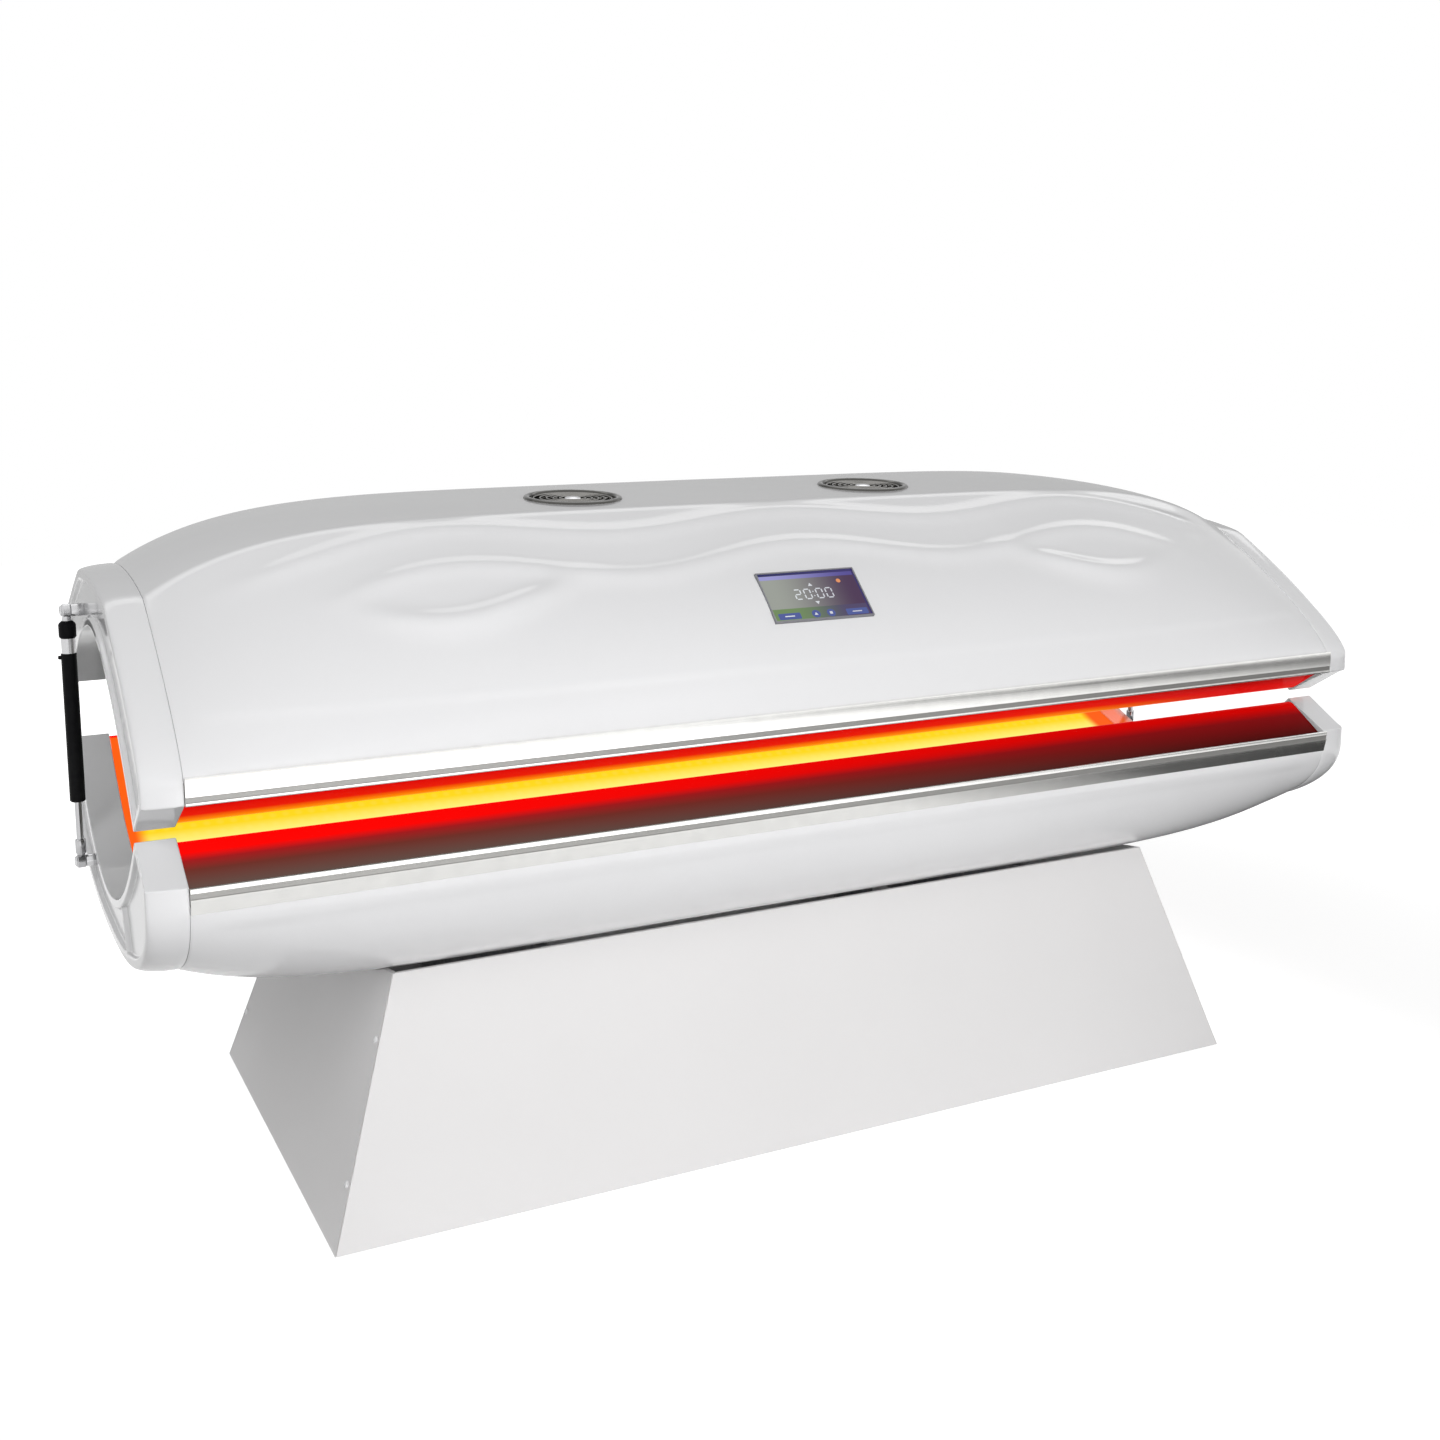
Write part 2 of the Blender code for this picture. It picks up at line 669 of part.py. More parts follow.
def make_canopy(pivot):
    shell = make_shell("canopy_shell", hood_section, stations(), pivot)
    make_trim("canopy_front_trim", -1, FRONT_TRIM_FOOT, UPPER_TRIM, pivot)
    make_trim("canopy_rear_trim", 1, REAR_TRIM_FOOT, UPPER_TRIM, pivot)
    ease = TRIM_EDGE / 2
    make_acrylic("canopy_acrylic", ceiling_line(), FRONT_TRIM_FOOT + ease, REAR_TRIM_FOOT + ease, 1, pivot)
    make_light("canopy", ceiling_height, 1, pivot)
    skin = [(-HALF_WIDTH, FRONT_TRIM_FOOT)] + hood_section(SHELL_HALF) + [(HALF_WIDTH, REAR_TRIM_FOOT)]
    tunnel = ceiling_line()[::-1]
    for side, word in ((-1, "left"), (1, "right")):
        make_cap(f"canopy_end_cap_{word}", side, skin, hood_edge, 1, tunnel, pivot)
        make_vent(word, side, shell, pivot)
    make_screen(shell, pivot)


def grille_angles():
    """Angles round the grille: each spoke's two sides, and the points between two spokes."""
    angles = []
    for i in range(SPOKES):
        first = 2 * math.pi * i / SPOKES + SPOKE_ANGLE / 2
        step = (2 * math.pi / SPOKES - SPOKE_ANGLE) / RIM_STEPS
        angles += [first - SPOKE_ANGLE] + [first + step * j for j in range(RIM_STEPS)]
    return angles


def circle_points(angles, radius, z):
    return [(radius * math.cos(angle), radius * math.sin(angle), z) for angle in angles]


def make_vent(word, side, shell, pivot):
    """Round vent let into the hood: a ring with a spoked grille, and a fan hung under it."""
    frame = hood_frame(VENT_MIDDLE + side * VENT_X, VENT_Y)
    angles = grille_angles()
    count = len(angles)
    bm = bmesh.new()
    edge = [bm.verts.new(point) for point in circle_points(angles, VENT_RADIUS + GAP, -2 * VENT_DEPTH)]
    pull(bm, [bm.faces.new(edge)], (0, 0, 4 * VENT_DEPTH))
    bmesh.ops.transform(bm, matrix=frame, verts=bm.verts)
    combine(shell, make_cutter(f"vent_hole_{word}", bm, pivot), "DIFFERENCE")

    bm = bmesh.new()
    radii = [GRILLE_HUB, *GRILLE_RING, VENT_THROAT, VENT_RADIUS]
    circles = [circle_points(angles, radius, VENT_PROUD) for radius in radii]
    rings = [[bm.verts.new(point) for point in circle] for circle in circles]
    bm.faces.new(rings[0])
    for level, (inner, outer) in enumerate(zip(rings, rings[1:])):
        for i in range(count):
            if level in (1, 3) or i % (RIM_STEPS + 1) == 0:
                after = (i + 1) % count
                bm.faces.new((inner[i], outer[i], outer[after], inner[after]))
    low = pull(bm, list(bm.faces), (0, 0, -GRILLE))
    ring = [face for face in low if face.calc_center_median().xy.length > VENT_THROAT]
    pull(bm, ring, (0, 0, GRILLE - VENT_PROUD - VENT_DEPTH))
    bmesh.ops.transform(bm, matrix=frame, verts=bm.verts)
    make_object(f"vent_grille_{word}", bm, chrome, pivot)
    make_fan(word, frame, pivot)


def make_fan(word, frame, pivot):
    top = -VENT_DEPTH - GAP
    bottom = top - FAN_DEPTH
    bm = bmesh.new()
    block(bm, (-FAN_SIDE / 2, -FAN_SIDE / 2, bottom), (FAN_SIDE / 2, FAN_SIDE / 2, top))
    bmesh.ops.transform(bm, matrix=frame, verts=bm.verts)
    fan = make_object(f"fan_frame_{word}", bm, black_plastic, pivot)
    bm = bmesh.new()
    round_bar(bm, FAN_BORE, frame @ Matrix.Translation((0, 0, top)), 4 * FAN_DEPTH, 2 * ROUND_SIDES)
    combine(fan, make_cutter(f"fan_bore_{word}", bm, pivot), "DIFFERENCE")

    reach = (FAN_BORE + FAN_SIDE / 2) / 2
    half = SPIDER_ARM / 2
    arm = [(FAN_HUB, -half), (reach, -half), (reach, half), (FAN_HUB, half)]
    turns = [Matrix.Rotation(math.pi / 2 * i, 2) for i in range(4)]
    outline = [turn @ Vector(point) for turn in turns for point in arm]
    bm = bmesh.new()
    pull(bm, [bm.faces.new([bm.verts.new((x, y, bottom)) for x, y in outline])], (0, 0, SPIDER))
    bmesh.ops.transform(bm, matrix=frame, verts=bm.verts)
    combine(fan, make_cutter(f"fan_spider_{word}", bm, pivot), "UNION")
    make_rotor(word, frame, bottom + SPIDER + GAP)


def make_rotor(word, frame, foot):
    """Hub whose every second side is drawn out into a pitched blade."""
    bm = bmesh.new()
    place = Matrix.Translation((0, 0, foot + FAN_HUB_HEIGHT / 2))
    round_bar(bm, FAN_HUB, place, FAN_HUB_HEIGHT, 2 * FAN_BLADES)
    sides = [face for face in bm.faces if len(face.verts) == 4]
    sides.sort(key=lambda face: math.atan2(*face.calc_center_median().yx))
    for face in sides[::2]:
        centre = face.calc_center_median()
        out = Vector((centre.x, centre.y, 0)).normalized()
        across = Vector((-out.y, out.x, 0))
        made = bmesh.ops.extrude_discrete_faces(bm, faces=[face])["faces"][0]
        run = across * math.cos(BLADE_PITCH) + Vector((0, 0, math.sin(BLADE_PITCH)))
        square = out.cross(run)
        tip = out * FAN_TIP + Vector((0, 0, centre.z))
        for vert in made.verts:
            way = math.copysign(0.5, (vert.co - centre).dot(across))
            up = math.copysign(0.5, vert.co.z - centre.z)
            vert.co = tip + run * (way * BLADE_WIDTH) + square * (up * BLADE_THICK)
    bmesh.ops.transform(bm, matrix=frame, verts=bm.verts)
    pivot = make_empty(f"fan_axis_{word}", frame @ Vector((0, 0, foot)), bed_frame)
    make_object(f"fan_rotor_{word}", bm, black_plastic, pivot)


def slab(frame, size, low, high):
    bm = bmesh.new()
    block(bm, (-size[0] / 2, -size[1] / 2, low), (size[0] / 2, size[1] / 2, high))
    bmesh.ops.transform(bm, matrix=frame, verts=bm.verts)
    return bm


def make_screen(shell, pivot):
    """Touch screen let into the front slope, in a thin bezel, with its control board behind it."""
    frame = hood_frame(SCREEN_X, SCREEN_Y)
    outer = [side + 2 * BEZEL for side in SCREEN_SIZE]
    hole = slab(frame, [side + 2 * GAP for side in outer], -2 * BEZEL_DEPTH, 2 * BEZEL_DEPTH)
    combine(shell, make_cutter("screen_hole", hole, pivot), "DIFFERENCE")
    bezel = make_object("screen_bezel", slab(frame, outer, -BEZEL_DEPTH, BEZEL_PROUD), black_plastic, pivot)
    window = slab(frame, SCREEN_SIZE, -2 * BEZEL_DEPTH, 2 * BEZEL_DEPTH)
    combine(bezel, make_cutter("screen_window", window, pivot), "DIFFERENCE")
    glass = [side - 2 * GAP for side in SCREEN_SIZE]
    top = BEZEL_PROUD - SCREEN_SINK
    make_object("screen_panel", slab(frame, glass, top - SCREEN_THICK, top), dark_glass, pivot)
    back = top - SCREEN_THICK - GAP
    make_object("control_board", slab(frame, CONTROL_SIZE, back - CONTROL_SIZE[2], back), white_board, pivot)


def leaf_outline(far, way):
    """Hinge leaf seen along X: a flat plate that ends in a round barrel on the hinge's axis."""
    half = LEAF / 2
    start = math.asin(half / BARREL)
    outline = [(HINGE_Y - half, far), (HINGE_Y + half, far)]
    for i in range(ROUND_SIDES - 1):
        turn = start + (2 * math.pi - 2 * start) * i / (ROUND_SIDES - 2)
        outline.append((HINGE_Y + BARREL * math.sin(turn), HINGE_Z - way * BARREL * math.cos(turn)))
    return outline


def make_hinge(word, side, canopy_pivot):
    x = side * HINGE_X
    half = HINGE_WIDTH / 2
    knuckle = HINGE_WIDTH / 6
    clear = BARREL + KNUCKLE_CLEAR
    plates = (
        ("base", BELLY_EDGE - LEAF_FOOT, 1, None, ((-knuckle - GAP, knuckle + GAP),)),
        ("canopy", REAR_EDGE + LEAF_HEAD, -1, canopy_pivot, ((-half, -knuckle), (knuckle, half))),
    )
    for owner, far, way, pivot, slots in plates:
        bm = bmesh.new()
        prism(bm, leaf_outline(far, way), x - half, x + half)
        leaf = make_object(f"hinge_{owner}_leaf_{word}", bm, bare_aluminium, pivot)
        bm = bmesh.new()
        round_bar(bm, PIN + GAP, along_x(x, HINGE_Y, HINGE_Z), 2 * HINGE_WIDTH)
        combine(leaf, make_cutter(f"hinge_{owner}_bore_{word}", bm, pivot), "DIFFERENCE")
        for number, (start, end) in enumerate(slots):
            past = [side_x + math.copysign(clear, side_x) * (abs(side_x) >= half) for side_x in (start, end)]
            bm = bmesh.new()
            low = (x + past[0], HINGE_Y - 2 * clear, HINGE_Z - clear)
            block(bm, low, (x + past[1], HINGE_Y + 2 * clear, HINGE_Z + clear))
            combine(leaf, make_cutter(f"hinge_{owner}_slot_{word}_{number}", bm, pivot), "DIFFERENCE")
    end = half + GAP
    far = end + PIN_HEAD_THICK
    profile = [(0, far), (PIN_HEAD, far), (PIN_HEAD, end), (PIN, end)]
    profile += [(PIN, -end), (PIN_HEAD, -end), (PIN_HEAD, -far), (0, -far)]
    bm = bmesh.new()
    turned(bm, profile, along_x(x, HINGE_Y, HINGE_Z))
    make_object(f"hinge_pin_{word}", bm, bright_steel, smooth=True)


def make_stud(name, side, z, pivot=None):
    """Stud on an end cap's sunk face: a flange, a plain shank for the eye, and a head."""
    start = BED_HALF - CAP_RECESS + GAP
    near = STRUT_X - EYE_WIDTH / 2 - GAP
    far = STRUT_X + EYE_WIDTH / 2 + GAP
    end = far + STUD_HEAD_THICK
    profile = [(0, end), (STUD_HEAD, end), (STUD_HEAD, far), (STUD, far)]
    profile += [(STUD, near), (STUD_FLANGE, near), (STUD_FLANGE, start), (0, start)]
    bm = bmesh.new()
    turned(bm, profile, along_x(0, STRUT_Y, z, side))
    make_object(name, bm, bright_steel, pivot, smooth=True)


def add_eye(target, name, side, z, pivot):
    """Joins a round eye to a strut's end and bores it for the stud."""
    centre = along_x(side * STRUT_X, STRUT_Y, z)
    bm = bmesh.new()
    round_bar(bm, EYE, centre, EYE_WIDTH)
    combine(target, make_cutter(f"{name}_eye", bm, pivot), "UNION")
    bm = bmesh.new()
    round_bar(bm, STUD + GAP, centre, 2 * EYE_WIDTH)
    combine(target, make_cutter(f"{name}_eye_bore", bm, pivot), "DIFFERENCE")


def make_strut(word, side, canopy_pivot):
    """Gas spring: the rod turns on the lower stud and the tube on the upper stud.

    With the canopy down, the rod's tip is at the blind end of the tube's bore, which is the stop.
    """
    low = lower_stud()
    high = upper_stud()
    make_stud(f"strut_base_stud_{word}", side, low)
    make_stud(f"strut_canopy_stud_{word}", side, high, canopy_pivot)
    x = side * STRUT_X

    name = f"strut_rod_{word}"
    pivot = make_empty(f"{name}_axis", (x, STRUT_Y, low), bed_frame)
    foot = low + STUD + 2 * GAP
    tip = low + ROD_LENGTH
    bm = bmesh.new()
    round_bar(bm, ROD, Matrix.Translation((x, STRUT_Y, (foot + tip) / 2)), tip - foot)
    rod = make_object(name, bm, chrome, pivot, smooth=True)
    add_eye(rod, name, side, low, pivot)

    name = f"strut_tube_{word}"
    pivot = make_empty(f"{name}_axis", (x, STRUT_Y, high), bed_frame)
    blind = tip + GAP - high
    profile = [(0, blind), (TUBE_BORE, blind), (TUBE_BORE, -TUBE_MOUTH)]
    profile += [(TUBE, -TUBE_MOUTH), (TUBE, -TUBE_TOP), (TUBE_NECK, -TUBE_TOP + TUBE - TUBE_NECK)]
    profile += [(TUBE_NECK, -STUD - 2 * GAP), (0, -STUD - 2 * GAP)]
    bm = bmesh.new()
    turned(bm, profile, Matrix.Translation((x, STRUT_Y, high)))
    tube = make_object(name, bm, black_enamel, pivot, smooth=True)
    add_eye(tube, name, side, high, pivot)


clear_scene()
white_gloss = make_material("white_gloss", (0.84, 0.84, 0.85), 0.15)
white_panel = make_material("white_panel", (0.80, 0.79, 0.79), 0.45)
dark_steel = make_material("dark_steel", (0.10, 0.10, 0.11), 0.5, 0.8)
bright_steel = make_material("bright_steel", (0.65, 0.65, 0.66), 0.25, 1.0)
chrome = make_material("chrome", (0.80, 0.80, 0.82), 0.08, 1.0)
satin_aluminium = make_material("satin_aluminium", (0.72, 0.72, 0.73), 0.3, 1.0)
bare_aluminium = make_material("bare_aluminium", (0.62, 0.62, 0.63), 0.4, 1.0)
red_acrylic = make_material("red_acrylic", (0.75, 0.02, 0.01), 0.12)
white_board = make_material("white_board", (0.85, 0.85, 0.80), 0.5)
black_rubber = make_material("black_rubber", (0.02, 0.02, 0.02), 0.8)
black_plastic = make_material("black_plastic", (0.015, 0.015, 0.016), 0.4)
black_enamel = make_material("black_enamel", (0.012, 0.012, 0.013), 0.25)
dark_glass = make_material("dark_glass", (0.03, 0.04, 0.10), 0.05)

bed_frame = make_empty("bed_frame", (0, -BOX_CENTRE, 0))
canopy_axis = make_empty("canopy_axis", (0, HINGE_Y, HINGE_Z), bed_frame)
make_inlet(make_pedestal())
make_base()
make_canopy(canopy_axis)
for end_side, end_word in ((-1, "left"), (1, "right")):
    make_hinge(end_word, end_side, canopy_axis)
    make_strut(end_word, end_side, canopy_axis)
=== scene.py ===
# %% [markdown]
# # A light therapy bed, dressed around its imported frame
#
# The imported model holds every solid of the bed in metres, already in its place, with one empty for each
# body that moves. This script keeps that frame as it is. It makes finer pieces where the plain solids lack
# the pressed waves, rolled edges and glowing sheets of the real bed, and gives every surface a finish.

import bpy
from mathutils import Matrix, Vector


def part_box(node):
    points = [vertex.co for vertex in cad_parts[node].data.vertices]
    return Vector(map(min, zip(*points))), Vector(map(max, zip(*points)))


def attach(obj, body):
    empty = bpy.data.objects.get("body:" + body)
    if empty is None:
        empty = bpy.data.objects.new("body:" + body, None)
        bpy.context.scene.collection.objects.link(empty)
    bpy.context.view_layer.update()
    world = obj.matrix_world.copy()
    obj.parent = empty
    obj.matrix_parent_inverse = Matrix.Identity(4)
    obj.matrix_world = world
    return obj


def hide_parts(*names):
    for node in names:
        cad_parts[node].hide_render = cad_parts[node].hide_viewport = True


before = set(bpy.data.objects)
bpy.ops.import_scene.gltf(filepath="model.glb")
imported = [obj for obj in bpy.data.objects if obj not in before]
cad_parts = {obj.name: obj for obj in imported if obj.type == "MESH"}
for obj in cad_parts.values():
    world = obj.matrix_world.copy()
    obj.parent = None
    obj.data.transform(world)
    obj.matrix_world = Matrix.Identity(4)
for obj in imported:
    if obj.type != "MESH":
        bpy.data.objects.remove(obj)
print(len(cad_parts), "packed solids")

# %% Clear the start-up scene
import math

import bmesh
import bpy
from mathutils import Matrix, Vector

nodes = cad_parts
for start_up in ("Cube", "Camera", "Light"):
    if start_up in bpy.data.objects:
        bpy.data.objects.remove(bpy.data.objects[start_up])
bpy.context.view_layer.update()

# %% [markdown]
# ## The camera
#
# The photograph was taken from the front left, a little above the bed. A camera can be placed by eye, but
# the pedestal, trims and screen give enough straight edges to solve for it, so the numbers below come from
# such a fit. The lens axis meets the picture above its middle, and a vertical shift reproduces that.

# %% Camera
PHOTO_SIDE = 1440
FOCAL_PIXELS = 1674.66
AXIS_ROW = 607.92
SENSOR = 36
EYE_PLACE = (-1.2220, -2.43395, 1.1675)
EYE_TURN, EYE_DOWN, EYE_ROLL = (math.radians(angle) for angle in (-26.6106, 8.4468, -0.2315))

scene = bpy.context.scene
camera = bpy.data.objects.new("photo_camera", bpy.data.cameras.new("photo_camera"))
scene.collection.objects.link(camera)
camera.data.sensor_width = SENSOR
camera.data.lens = SENSOR * FOCAL_PIXELS / PHOTO_SIDE
camera.data.shift_y = (AXIS_ROW - PHOTO_SIDE / 2) / PHOTO_SIDE
camera.matrix_world = (
    Matrix.Translation(EYE_PLACE)
    @ Matrix.Rotation(EYE_TURN, 4, "Z")
    @ Matrix.Rotation(math.pi / 2 - EYE_DOWN, 4, "X")
    @ Matrix.Rotation(EYE_ROLL, 4, "Z")
)
scene.camera = camera
scene.view_settings.view_transform = "Standard"
print(f"camera lens {camera.data.lens:.2f} mm, shift {camera.data.shift_y:.4f}")

# %% [markdown]
# ## Small helpers for nodes
#
# Each finish below is a handful of shader nodes. Writing every link by hand hides the idea, so one helper
# adds a node and fills its inputs, from a number or from another node's socket. Two more calculate with
# values and map them from one range to another.


# %% Node helpers
def add_node(tree, kind, values=None, **settings):
    made = tree.nodes.new("ShaderNode" + kind)
    for key, value in settings.items():
        setattr(made, key, value)
    for key, value in (values or {}).items():
        if isinstance(value, bpy.types.NodeSocket):
            tree.links.new(value, made.inputs[key])
        else:
            made.inputs[key].default_value = value
    return made


def calculate(tree, operation, *values):
    return add_node(tree, "Math", dict(enumerate(values)), operation=operation).outputs[0]


def spread(tree, value, low, high, to_low=0.0, to_high=1.0, smooth=True):
    """Maps a value from one range to another, eased at both ends or in a straight line."""
    ranges = {"Value": value, "From Min": low, "From Max": high, "To Min": to_low, "To Max": to_high}
    kind = "SMOOTHSTEP" if smooth else "LINEAR"
    return add_node(tree, "MapRange", ranges, interpolation_type=kind).outputs[0]


print("node helpers ready")

# %% [markdown]
# ## Studio
#
# The photograph shows the bed on pure white. Lighting the floor until it clips would also bleach the bed,
# so the floor and the sky are white only to the rays that look at them directly or in a reflection, and
# the lamps stay at a plain level. The floor's paint is pale under the middle of the bed and darker towards
# both ends, which sets how much light it throws up at the belly. Its own white grows with the distance from
# the bed, so that a soft shadow stays around the pedestal and no horizon shows.

# %% Sky
SKY_LIGHT = 0.32


def looked_at(tree):
    """1 for rays that come from the camera or from a reflection or a clear sheet, otherwise 0."""
    path = add_node(tree, "LightPath").outputs
    direct = calculate(tree, "MAXIMUM", path["Is Camera Ray"], path["Is Glossy Ray"])
    return calculate(tree, "MAXIMUM", direct, path["Is Transmission Ray"])


scene.world = bpy.data.worlds.new("studio_sky")
scene.world.use_nodes = True
sky = scene.world.node_tree
strength = spread(sky, looked_at(sky), 0.0, 1.0, SKY_LIGHT, 1.0, smooth=False)
sky.nodes["Background"].inputs["Color"].default_value = (1.0, 1.0, 1.0, 1.0)
sky.links.new(strength, sky.nodes["Background"].inputs["Strength"])
print("sky light", SKY_LIGHT)

# %% Floor paint
FLOOR_MIDDLE, FLOOR_PALE, FLOOR_TONES = -0.05, (0.5, 1.3), (0.88, 0.22)
FLOOR_FADE, FLOOR_GLOW = (1.3, 2.6), (0.84, 1.0)
floor_paint = bpy.data.materials.new("studio_floor")
floor_paint.use_nodes = True
tree = floor_paint.node_tree
place = add_node(tree, "TexCoord").outputs["Object"]
spot = add_node(tree, "SeparateXYZ", {0: place}).outputs["X"]
away = calculate(tree, "ABSOLUTE", calculate(tree, "SUBTRACT", spot, FLOOR_MIDDLE))
tone = spread(tree, away, *FLOOR_PALE, *FLOOR_TONES)
reach = add_node(tree, "VectorMath", {0: place}, operation="LENGTH").outputs["Value"]
whiteness = calculate(tree, "MULTIPLY", looked_at(tree), spread(tree, reach, *FLOOR_FADE, *FLOOR_GLOW))
tree.links.new(tone, tree.nodes["Principled BSDF"].inputs["Base Color"])
tree.nodes["Principled BSDF"].inputs["Roughness"].default_value = 1.0
tree.nodes["Principled BSDF"].inputs["Specular IOR Level"].default_value = 0.0
glow = add_node(tree, "Emission", {"Strength": whiteness})
both = add_node(tree, "AddShader", {0: tree.nodes["Principled BSDF"].outputs[0], 1: glow.outputs[0]})
tree.links.new(both.outputs[0], tree.nodes["Material Output"].inputs["Surface"])
print("floor tones", FLOOR_TONES)

# %% Floor
FLOOR_SIDE = 16.0
half = FLOOR_SIDE / 2
floor_corners = [(-half, -half, 0), (half, -half, 0), (half, half, 0), (-half, half, 0)]
floor_mesh = bpy.data.meshes.new("studio_floor")
floor_mesh.from_pydata(floor_corners, [], [(0, 1, 2, 3)])
floor_mesh.materials.append(floor_paint)
floor = bpy.data.objects.new("studio_floor", floor_mesh)
scene.collection.objects.link(floor)
print("floor", FLOOR_SIDE, "m wide")

# %% [markdown]
# Four rectangular lamps light the bed. A broad one in front keeps the front slopes brighter than the top, as
# in the photograph, a weak one fills the left end, and one at the rear right keeps the back from going dark.
# None of these shows in reflections. The fourth is the opposite: a long strip that only reflections see,
# which draws the bright lines along the pressed waves without adding light anywhere else.

# %% Lamps
BED_AIM, WAVE_AIM = (0.0, 0.0, 0.55), (1.2, -0.2, 0.94)


def hang_lamp(name, place, size, watts, aim=BED_AIM, hidden_from="glossy"):
    data = bpy.data.lights.new(name, "AREA")
    data.shape = "RECTANGLE"
    data.size, data.size_y = size
    data.energy = watts
    lamp = bpy.data.objects.new(name, data)
    lamp.location = place
    lamp.rotation_euler = (Vector(aim) - Vector(place)).to_track_quat("-Z", "Y").to_euler()
    lamp.visible_camera = False
    setattr(lamp, f"visible_{hidden_from}", False)
    scene.collection.objects.link(lamp)


hang_lamp("front_lamp", place=(-0.4, -4.1, 1.6), size=(4.4, 1.6), watts=95)
hang_lamp("left_lamp", place=(-2.8, -2.4, 2.6), size=(1.6, 1.6), watts=30)
hang_lamp("rear_lamp", place=(2.0, 3.9, 1.4), size=(4.4, 1.6), watts=70)
strip_place, strip_size = (1.2, 1.6, 2.93), (7.0, 0.8)
hang_lamp("wave_strip", strip_place, strip_size, watts=16, aim=WAVE_AIM, hidden_from="diffuse")

# %% [markdown]
# A glossy white shape on a white ground loses its form. Photographers stand grey cards just outside the
# picture, which show only as reflections: one behind the bed calms the flat top, two on the right darken the
# far end of the metal trims, and three below the bed stand for the shade there. The cards here are hidden
# from the camera and throw no shadow.


# %% Recipe for a card
def stand_card(name, corners, tone):
    """A plain card that only reflections see. tone is its brightness at its left and at its right edge."""
    paint = bpy.data.materials.new(name)
    paint.use_nodes = True
    tree = paint.node_tree
    tree.nodes.remove(tree.nodes["Principled BSDF"])
    share = add_node(tree, "SeparateXYZ", {0: add_node(tree, "TexCoord").outputs["Generated"]}).outputs["X"]
    light = add_node(tree, "Emission", {"Strength": spread(tree, share, 0.0, 1.0, *tone, smooth=False)})
    tree.links.new(light.outputs[0], tree.nodes["Material Output"].inputs["Surface"])
    mesh = bpy.data.meshes.new(name)
    mesh.from_pydata(corners, [], [(0, 1, 2, 3)])
    mesh.materials.append(paint)
    card = bpy.data.objects.new(name, mesh)
    for kind in ("camera", "diffuse", "transmission", "volume_scatter", "shadow"):
        setattr(card, f"visible_{kind}", False)
    scene.collection.objects.link(card)


def floor_card(name, x_range, y_range, height, tone):
    (x0, x1), (y0, y1) = x_range, y_range
    stand_card(name, [(x0, y0, height), (x1, y0, height), (x1, y1, height), (x0, y1, height)], tone)


print("card recipe ready")

# %% Six grey cards
REAR_CORNERS = [(-5, 4, 0.2), (7, 4, 0.2), (7, 4, 3.6), (-5, 4, 3.6)]
SIDE_Y, SIDE_HEIGHT = (-6.0, -0.85), 0.004
SHADE_Y, SHADE_HEIGHT = (-1.2, 0.9), 0.006
stand_card("rear_card", REAR_CORNERS, (0.68, 0.50))
floor_card("right_card", (1.5, 3.4), SIDE_Y, SIDE_HEIGHT, (1.15, 0.24))
floor_card("far_card", (3.4, 7.0), SIDE_Y, SIDE_HEIGHT, (0.24, 0.20))
floor_card("shade_card_left", (-1.3, 0.5), SHADE_Y, SHADE_HEIGHT, (0.84, 0.84))
floor_card("shade_card_middle", (0.5, 1.15), SHADE_Y, SHADE_HEIGHT, (0.84, 0.11))
floor_card("shade_card_right", (1.15, 1.9), SHADE_Y, SHADE_HEIGHT, (0.11, 0.01))
print("six grey cards")

# %% [markdown]
# ## Surface effects shared by the finishes
#
# Real mouldings are never one flat colour: the gloss wavers, and the skin has a fine orange peel. Drawn
# metal carries fine lines along the way it was pulled. Painted and plated edges rub brighter. Each of these
# is a node group, built once and set to its own scale in every material that uses it.


# %% Moulding grain
def start_group(name, inputs, outputs):
    tree = bpy.data.node_groups.new(name, "ShaderNodeTree")
    for label, kind, value in inputs:
        tree.interface.new_socket(label, in_out="INPUT", socket_type=kind).default_value = value
    for label in outputs:
        tree.interface.new_socket(label, in_out="OUTPUT", socket_type="NodeSocketFloat")
    return tree, tree.nodes.new("NodeGroupInput").outputs, tree.nodes.new("NodeGroupOutput").inputs


NUMBER, ARROW = "NodeSocketFloat", "NodeSocketVector"

moulding_grain, given, result = start_group(
    "moulding_grain", [("Fine Scale", NUMBER, 400.0), ("Broad Scale", NUMBER, 3.0)], ["Fine", "Broad"]
)
spot = add_node(moulding_grain, "TexCoord").outputs["Object"]
for label in ("Fine", "Broad"):
    values = {"Vector": spot, "Scale": given[f"{label} Scale"], "Detail": 3.0}
    moulding_grain.links.new(add_node(moulding_grain, "TexNoise", values).outputs[0], result[label])
print("group:", moulding_grain.name)

# %% Drawn lines
drawn_lines, given, result = start_group(
    "drawn_lines", [("Stretch", ARROW, (2.0, 900.0, 900.0)), ("Waver", NUMBER, 2.0)], ["Line", "Cloud"]
)
spot = add_node(drawn_lines, "TexCoord").outputs["Object"]
factors = {0: spot, 1: given["Stretch"]}
stretched = add_node(drawn_lines, "VectorMath", factors, operation="MULTIPLY").outputs[0]
line = add_node(drawn_lines, "TexNoise", {"Vector": stretched, "Scale": 1.0, "Detail": 4.0}).outputs[0]
values = {"Vector": spot, "Scale": given["Waver"], "Detail": 2.0}
cloud = add_node(drawn_lines, "TexNoise", values).outputs[0]
drawn_lines.links.new(line, result["Line"])
drawn_lines.links.new(cloud, result["Cloud"])
print("group:", drawn_lines.name)

